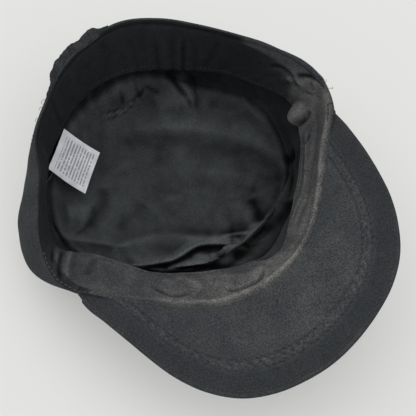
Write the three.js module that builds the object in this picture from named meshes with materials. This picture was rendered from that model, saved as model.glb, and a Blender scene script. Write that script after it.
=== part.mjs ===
// A soft cadet cap with a stiff peak, lying on its crown with the opening up.
// Millimetres; +Z up, the peak points along -Y, the crown's flat panel rests on z = 0.
import * as THREE from "three";

// Driving dimensions.
const SHIFT_X = -1.36;           // moves the cap's box onto the middle in X
const SHIFT_Y = 22.45;           // moves the cap's box onto the middle in Y
const TWILL = 1.6;               // thickness of the outer cloth
const BAND_CLOTH = 1.6;          // thickness of the sweatband
const LINING_CLOTH = 1.2;        // thickness of the lining
const PEAK_BOARD = 3.2;          // thickness of the peak
const CASING_CLOTH = 1.5;        // thickness of the gathered back strip
const LABEL_CLOTH = 1.0;         // thickness of the care label
const SEAM_Z = 0.5;              // lower edge of the crown's side
const RIM_DROP = 4.0;            // the crown's side stops this far under the rim line
const BAND_FOLD = 0.3;           // the sweatband's folded edge starts this far inside the rim line
const BAND_START = 2.6;          // the band turns down this far inside the rim line
const PEAK_GAP = 0.3;            // between the peak's root and the crown's side
const PANEL_GAP = 2.4;           // the flat panel's edge inside the seam line
const LINING_CLEAR = 4.4;        // least reach left between the lining's face and the wall
const ROUND = 72;                // steps around the head
const ROUND_LINING = 96;         // steps around the lining, four to a pleat

// The cap's sections, one row every 15 degrees, angles from +X towards +Y.
// seam, low, high, rim: reach of the outer wall at the crown seam, at 36 % and 70 % of the
// rim's height and at the rim; height: rim above the floor; band, bandZ: deep edge of the
// sweatband; floor: edge of the lining's floor; drape: reach of the lining at mid height.
const SECTIONS = table(
  ["angle", "seam", "low", "high", "rim", "height", "band", "bandZ", "floor", "drape"],
  [0, 86, 95.5, 99.5, 101.5, 71, 86, 45, 82, 86],
  [15, 88, 95, 96, 95.5, 72, 81, 44, 84, 86],
  [30, 88, 94, 92.5, 90.3, 73.5, 77, 46, 84, 86],
  [45, 87, 94, 91, 89.5, 75, 73.5, 47, 83, 86],
  [60, 90, 98, 97, 93.5, 75, 74, 47, 86, 91],
  [75, 91, 99, 99, 97.2, 74, 77, 46, 87, 92],
  [90, 88, 97, 97, 93.5, 72.5, 79, 45, 84, 89],
  [105, 85, 93, 93, 89, 71, 78, 44, 81, 86],
  [120, 83, 89, 88, 84, 69, 75, 43, 79, 83],
  [135, 82, 90, 88, 82.5, 67, 76, 41, 77, 82],
  [150, 82, 93.5, 91, 78.5, 65, 76, 41, 76, 82],
  [165, 82, 95.5, 94.5, 83, 62, 78, 42, 74, 80],
  [180, 79, 93.5, 97, 92, 58, 81, 44, 65, 74],
  [195, 73, 86, 90, 97, 56, 69.5, 50, 54, 64],
  [210, 66, 79, 81, 91, 55, 65.6, 50, 48, 58],
  [225, 62, 78, 76, 87.5, 53.5, 66, 50, 46, 57],
  [240, 60, 79, 76, 89, 52.3, 65, 48, 46, 57],
  [255, 59, 80, 77, 92, 52, 66, 45, 47, 58],
  [270, 59, 81, 78, 92.5, 52.4, 69, 41, 48, 60],
  [285, 61, 82, 79, 92, 54, 74, 42, 50, 62],
  [300, 65, 83, 81, 90, 57.2, 72.5, 44, 54, 65],
  [315, 69, 85, 82, 88, 60.9, 71.6, 46, 60, 69],
  [330, 75, 88, 87, 90.5, 65, 74.5, 47, 68, 74],
  [345, 81, 93, 97.5, 100.5, 69, 80, 45, 76, 80],
);

// The peak: a board curved up at both sides and rolled a little, with its outline as reach
// from a point in the front of the head, one row every 10 degrees.
const PEAK_CENTRE_Y = -45;
const PEAK_HALF = 90;            // half of the peak's width
const PEAK_FRONT_Z = 52;         // upper face of the peak at the middle of its root
const PEAK_ROLL = 5.5;           // rise of the +X side and fall of the -X side
const PEAK_CURVE = 10.5;         // rise of both sides over the middle
const PEAK_LIFT = 0.05;          // rise per millimetre beyond the lift line
const PEAK_LIFT_Y = -95;
const PEAK_START = 174;          // first and last angle of the outline
const PEAK_END = 365;
const PEAK_OUTLINE = table(
  ["angle", "reach"],
  [170, 90],
  [180, 88.6],
  [190, 86.6],
  [200, 87.2],
  [210, 90.2],
  [220, 95.2],
  [230, 100.2],
  [240, 103.6],
  [250, 104.3],
  [260, 103.7],
  [270, 103.3],
  [280, 102.6],
  [290, 102.4],
  [300, 102.8],
  [310, 102.2],
  [320, 99.8],
  [330, 97.2],
  [340, 94.4],
  [350, 92.8],
  [360, 92.4],
  [370, 93.8],
);

// Dents and swells of the outer wall: level runs from 0 at the seam to 1 at the rim,
// span and rise are half widths in degrees and in level, out is in millimetres.
const WALL_SHAPES = table(
  ["name", "angle", "level", "span", "rise", "out"],
  ["left_dent", 148, 0.62, 9, 0.22, -2.6],
  ["left_swell", 176, 0.45, 12, 0.25, 2.2],
  ["left_crease", 196, 0.55, 6, 0.3, -2.4],
  ["front_tuck", 246, 0.5, 16, 0.12, -1.8],
  ["front_swell", 272, 0.28, 14, 0.16, 2.0],
  ["right_tuck", 306, 0.5, 14, 0.12, -1.8],
  ["right_dent", 22, 0.45, 9, 0.25, -2.8],
  ["back_dent_a", 66, 0.3, 8, 0.2, -2.2],
  ["back_dent_b", 98, 0.36, 8, 0.22, -2.2],
  ["back_dent_c", 122, 0.3, 8, 0.22, -2.0],
);

// Folds, rolls and the knob of the sweatband: across runs from 0 at the rim to 1 at the
// deep edge, span is half a width in degrees, reach half a width across, lift in millimetres.
const BAND_SHAPES = table(
  ["name", "angle", "across", "span", "reach", "lift"],
  ["front_roll", 268, 0.22, 46, 0.2, 2.6],
  ["front_crease", 258, 0.5, 15, 0.1, -1.2],
  ["front_swell", 236, 0.62, 12, 0.25, 2.4],
  ["right_roll", 318, 0.25, 30, 0.18, 2.4],
  ["right_crease", 322, 0.55, 26, 0.1, -1.0],
  ["corner_knob", 353.5, 0.92, 5, 0.16, 4.5],
  ["corner_crease_a", 0, 0.3, 4, 0.3, -2.0],
  ["corner_crease_b", 346, 0.8, 3, 0.25, -1.2],
  ["left_seam_fold", 200, 0.5, 4, 0.5, 2.0],
  ["left_hollow", 192, 0.5, 4, 0.5, -1.5],
);

// Ridges of the lining's floor in plan, before the shift: width is half a width, height in mm.
const FLOOR_FOLDS = table(
  ["name", "x1", "y1", "x2", "y2", "width", "height"],
  ["long_fold", -71, 22, -26, -10, 7, 3.0],
  ["long_fold_b", -26, -10, 23, -46, 7, 3.6],
  ["bag_fold_a", -52, -14, -10, -36, 6, 6.5],
  ["bag_fold_b", -10, -36, 24, -42, 6, 6.0],
  ["cross_fold", -22, 44, 4, -20, 9, 2.2],
  ["right_ridge", 54, 21, 77, -22, 6, 4.0],
  ["seam_arc", 74, -18, 50, -44, 5, 3.0],
  ["far_dart", 50, 50, 54, 70, 5, -2.0],
  ["left_ridge", -66, 30, -48, 8, 6, 3.2],
);

// Lobes of the gathered strip at the back: out is the puff beyond the wall.
const CASING_START = 79;
const CASING_END = 116;
const CASING_LOBES = table(
  ["name", "angle", "span", "out"],
  ["lobe_a", 86.5, 4.4, 5.6],
  ["lobe_b", 97.5, 4.8, 5.6],
  ["lobe_c", 105, 3.2, 3.6],
  ["lobe_d", 112, 1.8, 1.0],
);

// The care label hangs from the sweatband's deep edge by one side.
const LABEL_START = 118.5;
const LABEL_END = 140.5;
const LABEL_INSET = 0.35;        // between its sewn side and the band
const LABEL_LENGTH = 26.5;       // how far it stands out into the hollow
const LABEL_DROP = 4.0;          // how far its free side hangs
const LABEL_BEND = 1.6;          // how far its middle sags

function cloth(color, roughness) {
  return new THREE.MeshStandardMaterial({ color, roughness, metalness: 0 });
}

const twill = cloth(0x24262a, 0.92);
const inner = cloth(0x2b2c2e, 0.96);
const worn = cloth(0x3a3936, 0.95);
const satin = cloth(0xe9e9ea, 0.55);

// Turns rows of values into rows of named values.
function table(columns, ...rows) {
  return rows.map((row) => Object.fromEntries(columns.map((column, k) => [column, row[k]])));
}

const radians = (degrees) => (degrees * Math.PI) / 180;

// A smooth value through a ring of rows at equal steps of angle.
function around(rows, column, angle) {
  const step = 360 / rows.length;
  const t = (((angle % 360) + 360) % 360) / step;
  const i = Math.floor(t);
  const f = t - i;
  const at = (k) => rows[(((i + k) % rows.length) + rows.length) % rows.length][column];
  return cubic(at(-1), at(0), at(1), at(2), f);
}

// A smooth value through rows at equal steps that have a first and a last row.
function along(rows, column, angle) {
  const step = rows[1].angle - rows[0].angle;
  const t = Math.min(Math.max((angle - rows[0].angle) / step, 0), rows.length - 1.0001);
  const i = Math.floor(t);
  const at = (k) => rows[Math.min(Math.max(i + k, 0), rows.length - 1)][column];
  return cubic(at(-1), at(0), at(1), at(2), t - i);
}

function cubic(a, b, c, d, f) {
  const first = c - a;
  const second = 2 * a - 5 * b + 4 * c - d;
  const third = 3 * b - a - 3 * c + d;
  return 0.5 * (2 * b + first * f + second * f * f + third * f * f * f);
}

// A smooth bump, 1 in the middle and nearly 0 from twice its half width on.
const bump = (distance, half) => Math.exp(-((distance / half) ** 2));

const turn = (a, b) => ((((a - b) % 360) + 540) % 360) - 180;

function polar(angle, reach, z) {
  return new THREE.Vector3(reach * Math.cos(radians(angle)), reach * Math.sin(radians(angle)), z);
}

// A cubic through four values at levels 0, 0.34, 0.68 and 1.
function profile(values, level) {
  const knots = [0, 0.34, 0.68, 1];
  let sum = 0;
  for (let j = 0; j < 4; j += 1) {
    let weight = 1;
    for (let m = 0; m < 4; m += 1) {
      if (m !== j) {
        weight *= (level - knots[m]) / (knots[j] - knots[m]);
      }
    }
    sum += weight * values[j];
  }
  return sum;
}

// Gives a sheet of points a thickness along its normals and closes its edges.
// grid[u][v]; closed joins the last u to the first; pole means that v ends in one point.
function thicken(grid, thickness, closed, pole) {
  const nu = grid.length;
  const nv = grid[0].length;
  const wrap = (u) => (closed ? (u + nu) % nu : Math.min(Math.max(u, 0), nu - 1));
  const face = [];
  const back = [];
  for (let u = 0; u < nu; u += 1) {
    for (let v = 0; v < nv; v += 1) {
      const p = grid[u][v];
      const across = grid[wrap(u + 1)][v].clone().sub(grid[wrap(u - 1)][v]);
      const down = grid[u][Math.min(v + 1, nv - 1)].clone().sub(grid[u][Math.max(v - 1, 0)]);
      const normal = pole && v === nv - 1 ? new THREE.Vector3(0, 0, 1) : across.cross(down).normalize();
      face.push(p.clone());
      back.push(p.clone().addScaledVector(normal, thickness));
    }
  }
  if (pole) {
    const sign = back[nv - 2].z < face[nv - 2].z ? -1 : 1;
    for (let u = 0; u < nu; u += 1) {
      back[u * nv + nv - 1].copy(face[u * nv + nv - 1]);
      back[u * nv + nv - 1].z += sign * Math.abs(thickness);
    }
  }
  return sew(face, back, nu, nv, closed, pole);
}

// Sews two sheets of points into one closed body.
function sew(face, back, nu, nv, closed, pole) {
  const points = [];
  const index = new Map();
  const put = (side, u, v) => {
    const first = pole && v === nv - 1 ? 0 : u;
    const key = `${side}:${first}:${v}`;
    if (!index.has(key)) {
      const p = (side === 0 ? face : back)[first * nv + v];
      index.set(key, points.length / 3);
      points.push(p.x + SHIFT_X, p.y + SHIFT_Y, p.z);
    }
    return index.get(key);
  };
  const triangles = [];
  const quad = (a, b, c, d) => {
    if (a !== b && b !== c && a !== c) {
      triangles.push(a, b, c);
    }
    if (a !== c && c !== d && a !== d) {
      triangles.push(a, c, d);
    }
  };
  const lastU = closed ? nu : nu - 1;
  for (let u = 0; u < lastU; u += 1) {
    const w = (u + 1) % nu;
    for (let v = 0; v < nv - 1; v += 1) {
      quad(put(0, u, v), put(0, w, v), put(0, w, v + 1), put(0, u, v + 1));
      quad(put(1, u, v), put(1, u, v + 1), put(1, w, v + 1), put(1, w, v));
    }
    quad(put(0, u, 0), put(1, u, 0), put(1, w, 0), put(0, w, 0));
    if (!pole) {
      quad(put(0, u, nv - 1), put(0, w, nv - 1), put(1, w, nv - 1), put(1, u, nv - 1));
    }
  }
  if (!closed) {
    for (let v = 0; v < nv - 1; v += 1) {
      quad(put(0, 0, v), put(0, 0, v + 1), put(1, 0, v + 1), put(1, 0, v));
      quad(put(0, nu - 1, v), put(1, nu - 1, v), put(1, nu - 1, v + 1), put(0, nu - 1, v + 1));
    }
  }
  if (volume(points, triangles) < 0) {
    for (let i = 0; i < triangles.length; i += 3) {
      [triangles[i + 1], triangles[i + 2]] = [triangles[i + 2], triangles[i + 1]];
    }
  }
  const geometry = new THREE.BufferGeometry();
  geometry.setAttribute("position", new THREE.Float32BufferAttribute(points, 3));
  geometry.setIndex(triangles);
  geometry.computeVertexNormals();
  return geometry;
}

function volume(points, triangles) {
  const a = new THREE.Vector3();
  const b = new THREE.Vector3();
  const c = new THREE.Vector3();
  let sum = 0;
  for (let i = 0; i < triangles.length; i += 3) {
    a.fromArray(points, triangles[i] * 3);
    b.fromArray(points, triangles[i + 1] * 3);
    c.fromArray(points, triangles[i + 2] * 3);
    sum += a.dot(b.cross(c));
  }
  return sum / 6;
}

function levels(count) {
  return Array.from({ length: count }, (_, k) => k / (count - 1));
}

function ring(count) {
  return Array.from({ length: count }, (_, k) => (360 * k) / count);
}

function arc(start, end, count) {
  return levels(count).map((t) => start + (end - start) * t);
}

// A point of the outer wall; level 0 at the crown seam, 1 just under the rim.
function wallPoint(angle, level) {
  const height = around(SECTIONS, "height", angle) - RIM_DROP;
  const reaches = ["seam", "low", "high", "rim"].map((column) => around(SECTIONS, column, angle));
  const heights = [SEAM_Z, 0.36 * height, 0.7 * height, height];
  let reach = profile(reaches, level);
  for (const shape of WALL_SHAPES) {
    const part = bump(turn(angle, shape.angle), shape.span) * bump(level - shape.level, shape.rise);
    reach += shape.out * part * Math.min(1, 6 * (1 - level), 8 * level);
  }
  return polar(angle, reach, profile(heights, level));
}

// The least reach of the outer wall about a height.
function wallReach(angle, z) {
  let least = Infinity;
  for (const level of levels(25)) {
    const p = wallPoint(angle, level);
    if (Math.abs(p.z - z) < 3.5) {
      least = Math.min(least, Math.hypot(p.x, p.y));
    }
  }
  return least;
}

// A point of the sweatband's worn face; across 0 at the rim, 1 at the deep edge.
function bandPoint(angle, across) {
  const rim = around(SECTIONS, "rim", angle);
  const height = around(SECTIONS, "height", angle);
  if (across === 0) {
    return polar(angle, rim - BAND_FOLD, height - 0.8);
  }
  const top = [rim - BAND_START, height + 0.2];
  const deep = [around(SECTIONS, "band", angle), around(SECTIONS, "bandZ", angle)];
  const run = [deep[0] - top[0], deep[1] - top[1]];
  const length = Math.hypot(run[0], run[1]);
  const normal = [run[1] / length, -run[0] / length];
  let lift = 1.2 * Math.sin(Math.PI * across);
  for (const shape of BAND_SHAPES) {
    const part = bump(turn(angle, shape.angle), shape.span) * bump(across - shape.across, shape.reach);
    lift += shape.lift * part * Math.min(1, 5 * across);
  }
  const reach = top[0] + run[0] * across + normal[0] * lift;
  return polar(angle, reach, top[1] + run[1] * across + normal[1] * lift);
}

// Height of the lining's floor over the flat panel.
function floorHeight(x, y, part) {
  let z = 3.6 + 1.6 * part ** 3;
  for (const fold of FLOOR_FOLDS) {
    const dx = fold.x2 - fold.x1;
    const dy = fold.y2 - fold.y1;
    const t = Math.min(Math.max(((x - fold.x1) * dx + (y - fold.y1) * dy) / (dx * dx + dy * dy), 0), 1);
    const distance = Math.hypot(x - fold.x1 - t * dx, y - fold.y1 - t * dy);
    z += fold.height * bump(distance, fold.width) * (part > 0.9 ? 0.6 : 1);
  }
  return Math.max(z, 3.4);
}

// The lining's section at an angle, from its hidden upper edge to the middle of the floor.
function liningSection(angle) {
  const wall = wallPoint(angle, 0.72);
  const height = around(SECTIONS, "height", angle);
  const floor = around(SECTIONS, "floor", angle);
  const pleat = Math.cos(radians(24 * angle));
  const far = bump(turn(angle, 75), 62);
  const top = [Math.hypot(wall.x, wall.y) - LINING_CLEAR, wall.z];
  const slump = bump(turn(angle, 268), 62);
  const middle = [around(SECTIONS, "drape", angle) + 0.8 * far * pleat, (0.44 - 0.1 * slump) * height];
  const low = [0.35 * middle[0] + 0.65 * floor + 1.5 + 0.6 * far * pleat, 0.16 * height + 1];
  const knots = [top, middle, low, [floor, floorHeight(...flat(angle, floor), 1)]];
  const section = [];
  for (const level of [0, 0.2, 0.4, 0.6, 0.8, 1]) {
    const reach = profile(knots.map((knot) => knot[0]), level);
    const z = profile(knots.map((knot) => knot[1]), level);
    section.push(polar(angle, Math.min(reach, wallReach(angle, z) - LINING_CLEAR), z));
  }
  for (const part of [0.83, 0.64, 0.44, 0.22, 0]) {
    section.push(polar(angle, floor * part, floorHeight(...flat(angle, floor * part), part)));
  }
  return section;
}

function flat(angle, reach) {
  return [reach * Math.cos(radians(angle)), reach * Math.sin(radians(angle))];
}

// Upper face of the peak.
function peakHeight(x, y) {
  const side = x / PEAK_HALF;
  const lift = PEAK_LIFT * Math.max(0, PEAK_LIFT_Y - y);
  return PEAK_FRONT_Z + PEAK_ROLL * side + PEAK_CURVE * side * side + lift;
}

// Where the peak's root meets the crown, along a ray from the peak's own centre.
function peakRoot(angle) {
  const c = Math.cos(radians(angle));
  const s = Math.sin(radians(angle));
  let reach = 20;
  for (let step = 0; step < 400; step += 1) {
    const x = reach * c;
    const y = PEAK_CENTRE_Y + reach * s;
    const head = (Math.atan2(y, x) * 180) / Math.PI;
    if (Math.hypot(x, y) >= around(SECTIONS, "rim", head) + PEAK_GAP) {
      break;
    }
    reach += 0.25;
  }
  return reach;
}

const group = new THREE.Group();
group.name = "cadet_cap";

function add(name, geometry, material) {
  const mesh = new THREE.Mesh(geometry, material);
  mesh.name = name;
  group.add(mesh);
}

// Flat panel that the cap lies on: level underneath, its edge turned up a little.
function crownTop() {
  const grid = ring(60).map((angle) => {
    const reach = around(SECTIONS, "seam", angle) - PANEL_GAP;
    const turnUp = (part) => Math.max(0, (part - 0.94) * 16);
    return [1, 0.95, 0.88, 0.6, 0.3, 0].map((part) => polar(angle, reach * part, turnUp(part)));
  });
  return thicken(grid, upward(grid, TWILL), true, true);
}

// Picks the sign of a thickness so that it goes up at the middle of a floor.
function upward(grid, thickness) {
  const a = grid[1][2].clone().sub(grid[0][2]);
  const b = grid[0][3].clone().sub(grid[0][2]);
  return a.cross(b).z > 0 ? thickness : -thickness;
}

function crownSide() {
  const grid = ring(ROUND).map((angle) => levels(9).map((level) => wallPoint(angle, level)));
  return thicken(grid, -TWILL, true, false);
}

function lining() {
  const grid = ring(ROUND_LINING).map((angle) => liningSection(angle));
  return thicken(grid, -upward(grid.map((row) => row.slice(-5)), LINING_CLOTH), true, true);
}

function sweatband() {
  const steps = [0, 0.01, 0.22, 0.42, 0.61, 0.8, 1];
  const grid = ring(ROUND).map((angle) => steps.map((across) => bandPoint(angle, across)));
  return thicken(grid, -BAND_CLOTH, true, false);
}

function peak() {
  const grid = arc(PEAK_START, PEAK_END, 47).map((angle) => {
    const root = peakRoot(angle);
    const tip = Math.max(along(PEAK_OUTLINE, "reach", angle), root + 2.2);
    return [0, 0.25, 0.5, 0.75, 0.93, 1].map((part) => {
      const reach = root + (tip - root) * part;
      const x = reach * Math.cos(radians(angle));
      const y = PEAK_CENTRE_Y + reach * Math.sin(radians(angle));
      return new THREE.Vector3(x, y, peakHeight(x, y) - (part === 1 ? 0.5 : 0));
    });
  });
  return thicken(grid, -PEAK_BOARD, false, false);
}

function elasticCasing() {
  const grid = arc(CASING_START, CASING_END, 38).map((angle) =>
    levels(6).map((across) => {
      const p = wallPoint(angle, 0.7 + 0.29 * across);
      const puff = 0.35 + 0.65 * Math.sin(Math.PI * (0.12 + 0.7 * across));
      let out = TWILL + 0.4;
      for (const lobe of CASING_LOBES) {
        out += lobe.out * bump(turn(angle, lobe.angle), lobe.span) * puff;
      }
      return polar(angle, Math.hypot(p.x, p.y) + out, p.z + 0.4 * across);
    }));
  return thicken(grid, -CASING_CLOTH, false, false);
}

function careLabel() {
  const corner = (angle, inset, z) => {
    const p = bandPoint(angle, 0.97);
    return polar(angle, Math.hypot(p.x, p.y) - inset, p.z + z);
  };
  const start = corner(LABEL_START, LABEL_INSET, 0.6);
  const end = corner(LABEL_END, LABEL_INSET, 0.6);
  const side = end.clone().sub(start);
  const out = new THREE.Vector3(-side.y, side.x, 0).normalize().multiplyScalar(LABEL_LENGTH);
  if (out.dot(start) > 0) {
    out.negate();
  }
  const grid = levels(6).map((u) =>
    levels(7).map((v) => {
      const sag = LABEL_DROP * v + LABEL_BEND * Math.sin(Math.PI * v) + 1.2 * u * v;
      const p = start.clone().addScaledVector(side, u).addScaledVector(out, v);
      return new THREE.Vector3(p.x, p.y, p.z - sag);
    }));
  return thicken(grid, upwardLabel(grid), false, false);
}

function upwardLabel(grid) {
  const a = grid[1][0].clone().sub(grid[0][0]);
  const b = grid[0][1].clone().sub(grid[0][0]);
  return a.cross(b).z > 0 ? LABEL_CLOTH : -LABEL_CLOTH;
}

add("crown_top", crownTop(), twill);
add("crown_side", crownSide(), twill);
add("lining", lining(), inner);
add("sweatband", sweatband(), worn);
add("peak", peak(), twill);
add("elastic_casing", elasticCasing(), twill);
add("care_label", careLabel(), satin);

export default group;
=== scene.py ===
"""A soft black cadet cap lying on its crown: cloth, seams, stitching and stage."""

import math

import bpy
import numpy as np
from mathutils import Matrix, Vector, noise


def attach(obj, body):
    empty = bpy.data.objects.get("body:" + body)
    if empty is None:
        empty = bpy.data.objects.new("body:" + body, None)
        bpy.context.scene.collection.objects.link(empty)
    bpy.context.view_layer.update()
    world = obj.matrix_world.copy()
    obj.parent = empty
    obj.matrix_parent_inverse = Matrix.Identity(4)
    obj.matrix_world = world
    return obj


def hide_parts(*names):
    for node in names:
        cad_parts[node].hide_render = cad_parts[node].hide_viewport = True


bl_info = {
    "name": "Cadet cap",
    "version": (1, 0, 0),
    "blender": (4, 5, 0),
    "location": "View3D > Sidebar > Cap",
    "description": "Sews a slumped cadet cap over its solids and sets the stage",
    "category": "Object",
}

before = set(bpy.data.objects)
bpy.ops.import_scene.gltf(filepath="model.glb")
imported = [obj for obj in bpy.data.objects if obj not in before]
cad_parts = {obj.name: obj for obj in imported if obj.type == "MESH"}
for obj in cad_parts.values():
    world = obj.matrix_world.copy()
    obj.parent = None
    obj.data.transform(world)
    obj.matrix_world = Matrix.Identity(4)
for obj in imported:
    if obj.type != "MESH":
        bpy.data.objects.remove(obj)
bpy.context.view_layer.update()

MM = 0.001
SHIFT = np.array((-1.36, 22.45, 0.0))   # moves the cap's own axes onto the middle of its box
SEAM_Z = 0.6
WALL_DIP = 1.6                          # how much lower the wall's rim is where the peak is sewn on
BAND_TUCK, BAND_OUT = 2.4, 2.0          # the band starts inside the rim, and comes out by the peak
LINING_CLEAR = 4.4                      # between the lining's top and the wall
FOLD_TAPER, FOLD_LEAST = 0.22, 0.08     # share of a fold that fades at each end, and what is left
STEP = 15.0                             # degrees between two sections

# The cap's sections, the same as the solids': reach of the outer wall at the crown seam,
# at 36 % and 70 % of the height and at the rim; height of the rim; reach and height of the
# sweatband's deep edge; reach of the lining's floor and of its drape at mid height; and the
# height of the seam between the lining's wall and its panel, which only the cloth has.
SECTION_COLUMNS = (
    "angle", "seam", "low", "high", "rim", "height", "band", "band_z", "floor", "drape", "panel")
SECTIONS = np.array([
    (0, 86, 95.5, 99.5, 101.5, 71, 86, 45, 82, 86, 10),
    (15, 88, 95, 96, 95.5, 72, 81, 44, 84, 86, 20),
    (30, 88, 94, 92.5, 90.3, 73.5, 77, 46, 84, 86, 20),
    (45, 87, 94, 91, 89.5, 75, 73.5, 47, 83, 86, 19),
    (60, 90, 98, 97, 93.5, 75, 74, 47, 86, 91, 26),
    (75, 91, 99, 99, 97.2, 74, 77, 46, 87, 92, 32),
    (90, 88, 97, 97, 93.5, 72.5, 79, 45, 84, 89, 31),
    (105, 85, 93, 93, 89, 71, 78, 44, 81, 86, 34),
    (120, 83, 89, 88, 84, 69, 75, 43, 79, 83, 34),
    (135, 82, 90, 88, 82.5, 67, 76, 41, 77, 82, 28),
    (150, 82, 93.5, 91, 78.5, 65, 76, 41, 76, 82, 20),
    (165, 82, 95.5, 94.5, 83, 62, 78, 42, 74, 80, 14),
    (180, 79, 93.5, 97, 92, 58, 81, 44, 65, 74, 10),
    (195, 73, 86, 90, 97, 56, 69.5, 50, 54, 64, 8),
    (210, 66, 79, 81, 91, 55, 65.6, 50, 48, 58, 6),
    (225, 62, 78, 76, 87.5, 53.5, 66, 50, 46, 57, 6),
    (240, 60, 79, 76, 89, 52.3, 65, 48, 46, 57, 6),
    (255, 59, 80, 77, 92, 52, 66, 45, 47, 58, 6),
    (270, 59, 81, 78, 92.5, 52.4, 69, 41, 48, 60, 6),
    (285, 61, 82, 79, 92, 54, 74, 42, 50, 62, 6),
    (300, 65, 83, 81, 90, 57.2, 72.5, 44, 54, 65, 6),
    (315, 69, 85, 82, 88, 60.9, 71.6, 46, 60, 69, 6),
    (330, 75, 88, 87, 90.5, 65, 74.5, 47, 68, 74, 6),
    (345, 81, 93, 97.5, 100.5, 69, 80, 45, 76, 80, 6),
])

# The peak, a board curved up at both sides and rolled a little; its outline as reach from
# a point in the front of the head, every 10 degrees from 170 to 380.
PEAK_CENTRE_Y = -45.0
PEAK_HALF = 90.0
PEAK_FRONT_Z = 52.0
PEAK_ROLL = 5.5
PEAK_CURVE = 10.5
PEAK_LIFT = 0.05
PEAK_LIFT_Y = -95.0
PEAK_START, PEAK_END = 173.0, 371.0
PEAK_OUTLINE = np.array((
    90, 89.4, 87.0, 87.2, 90.2, 95.2, 100.2, 103.6, 104.3, 103.7, 103.3,
    102.6, 102.4, 102.8, 102.2, 99.8, 97.2, 94.4, 93.0, 93.1, 95.8, 99.5))
PEAK_ROWS = (0.795, 0.85)               # the two stitched rows, as shares of the outline's reach
PEAK_EDGE_ROW = 0.962                   # the row by the edge, likewise
PEAK_DIPS = ((3.4, 361, 9), (3.2, 186, -12))   # mm that its ends dip, first angle, run
STITCH_MM = 2.9                         # pitch of the stitches on the peak and by the rim

# Dents and swells of the outer wall: angle, level from seam to rim, half widths, outward mm.
WALL_SHAPES = (
    (148, 0.62, 9, 0.22, -2.6),
    (176, 0.45, 12, 0.25, 2.2),
    (196, 0.55, 6, 0.30, -2.4),
    (246, 0.50, 16, 0.12, -1.8),
    (272, 0.28, 14, 0.16, 2.0),
    (306, 0.50, 14, 0.12, -1.8),
    (22, 0.45, 9, 0.25, -2.8),
    (66, 0.30, 8, 0.20, -2.2),
    (98, 0.36, 8, 0.22, -2.2),
    (122, 0.30, 8, 0.22, -2.0),
)

# Folds of the sweatband. Each row: name, height mm, half width mm on the left and on the
# right of its line, then points as (angle, share of the way from the rim to the deep edge).
BAND_FOLDS = (
    ("roll", 2.6, 3.6, 4.2, (352, .10), (344, .12), (336, .14), (323, .12), (306, .10), (291, .09),
     (275, .10), (260, .11), (244, .12), (228, .12), (212, .10)),
    ("far rim seam", -1.0, 0.7, 0.7, (6, .075), (30, .075), (60, .075), (90, .07), (120, .07),
     (150, .075), (182, .075)),
    ("front rim seam", -1.1, 0.6, 0.6, (350, .05), (325, .05), (300, .045), (270, .045), (240, .045),
     (208, .05)),
    ("groove", -1.2, 2.2, 2.2, (347, .46), (341, .45), (329, .43), (318, .50), (310, .47), (301, .58),
     (293, .54)),
    ("short groove", -1.2, 1.2, 1.2, (339.5, .66), (336.3, .81)),
    ("inner ridge", 0.8, 1.3, 1.3, (344, .76), (339, .78), (321, .67), (311, .68), (304, .82),
     (297, .86)),
    ("inner crease", -0.9, 0.7, 0.7, (342, .88), (330, .84), (316, .82), (306, .92)),
    ("right lens", 2.4, 4.5, 4.5, (254, .80), (261, .62), (268, .50), (275, .55)),
    ("right lens crease", -1.8, 1.6, 1.3, (255.5, .36), (258.5, .28), (262.6, .25), (268.1, .25),
     (273.9, .45)),
    ("left lens", 2.0, 4.0, 4.0, (229, .74), (233.2, .69), (238.5, .76), (244.4, .60), (246.2, .38)),
    ("left lens crease", -1.5, 1.7, 1.3, (224.8, .54), (233.5, .30), (242.2, .38)),
    ("seam fold", -2.8, 1.2, 1.2, (183, .93), (187.9, .40), (193.2, .08)),
    ("seam ridge", 2.0, 1.6, 1.6, (185.5, .98), (190.5, .50), (195.5, .12)),
    ("second fold", -1.8, 1.1, 1.1, (182.1, .48), (186.7, .18)),
    ("left dip", -1.2, 2.4, 2.4, (197, .9), (200, .4)),
    ("corner crease a", -3.0, 1.1, 1.1, (2.9, .38), (0.8, .27), (357.1, .13), (353.6, .01)),
    ("corner crease b", -0.8, 0.6, 0.6, (357.9, .23), (356.2, .27), (354.1, .32)),
    ("corner crease c", -0.8, 0.6, 0.6, (356.4, .49), (354.6, .42), (352.6, .36)),
    ("corner lip", 1.6, 2.4, 2.4, (8, .60), (3, .48), (357, .40)),
    ("corner fold", -1.6, 1.2, 1.2, (14, .42), (9, .36), (4, .44), (0, .56)),
    ("knob under", -2.2, 1.6, 1.6, (349, .56), (347.6, .72), (348.4, .98)),
    ("far fold a", 0.9, 5.0, 5.0, (64, .1), (60, .6), (57, 1.0)),
    ("far fold b", -0.9, 4.0, 4.0, (82, .05), (84, .6), (88, 1.0)),
    ("far fold c", 1.0, 5.0, 5.0, (100, .1), (102, .6), (101, 1.0)),
    ("far fold d", -1.1, 3.5, 3.5, (116, .05), (118, .6), (117, 1.0)),
    ("far fold e", 1.0, 4.0, 4.0, (136, .1), (140, .6), (141, 1.0)),
    ("far fold f", -1.0, 3.0, 3.0, (36, .2), (38, .6), (42, 1.0)),
)
# The knob: angle, place across, half widths in degrees and across, height in mm.
BAND_KNOB = (352.9, 0.88, 4.8, 0.27, 4.4)
# Across, and the angle where the light on the band ends there.
BAND_LIT = ((0.10, 25.0), (0.22, 12.0), (0.33, 6.5), (0.57, 2.0), (0.93, -0.5))
# Angle, and the share of the full width at which the hem lies.
BAND_HEM = (
    (0, 1), (223, 1), (257, 1), (273.5, .97), (277.7, .74), (284.4, .70), (292.7, .84),
    (301.7, .99), (360, 1))
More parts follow.
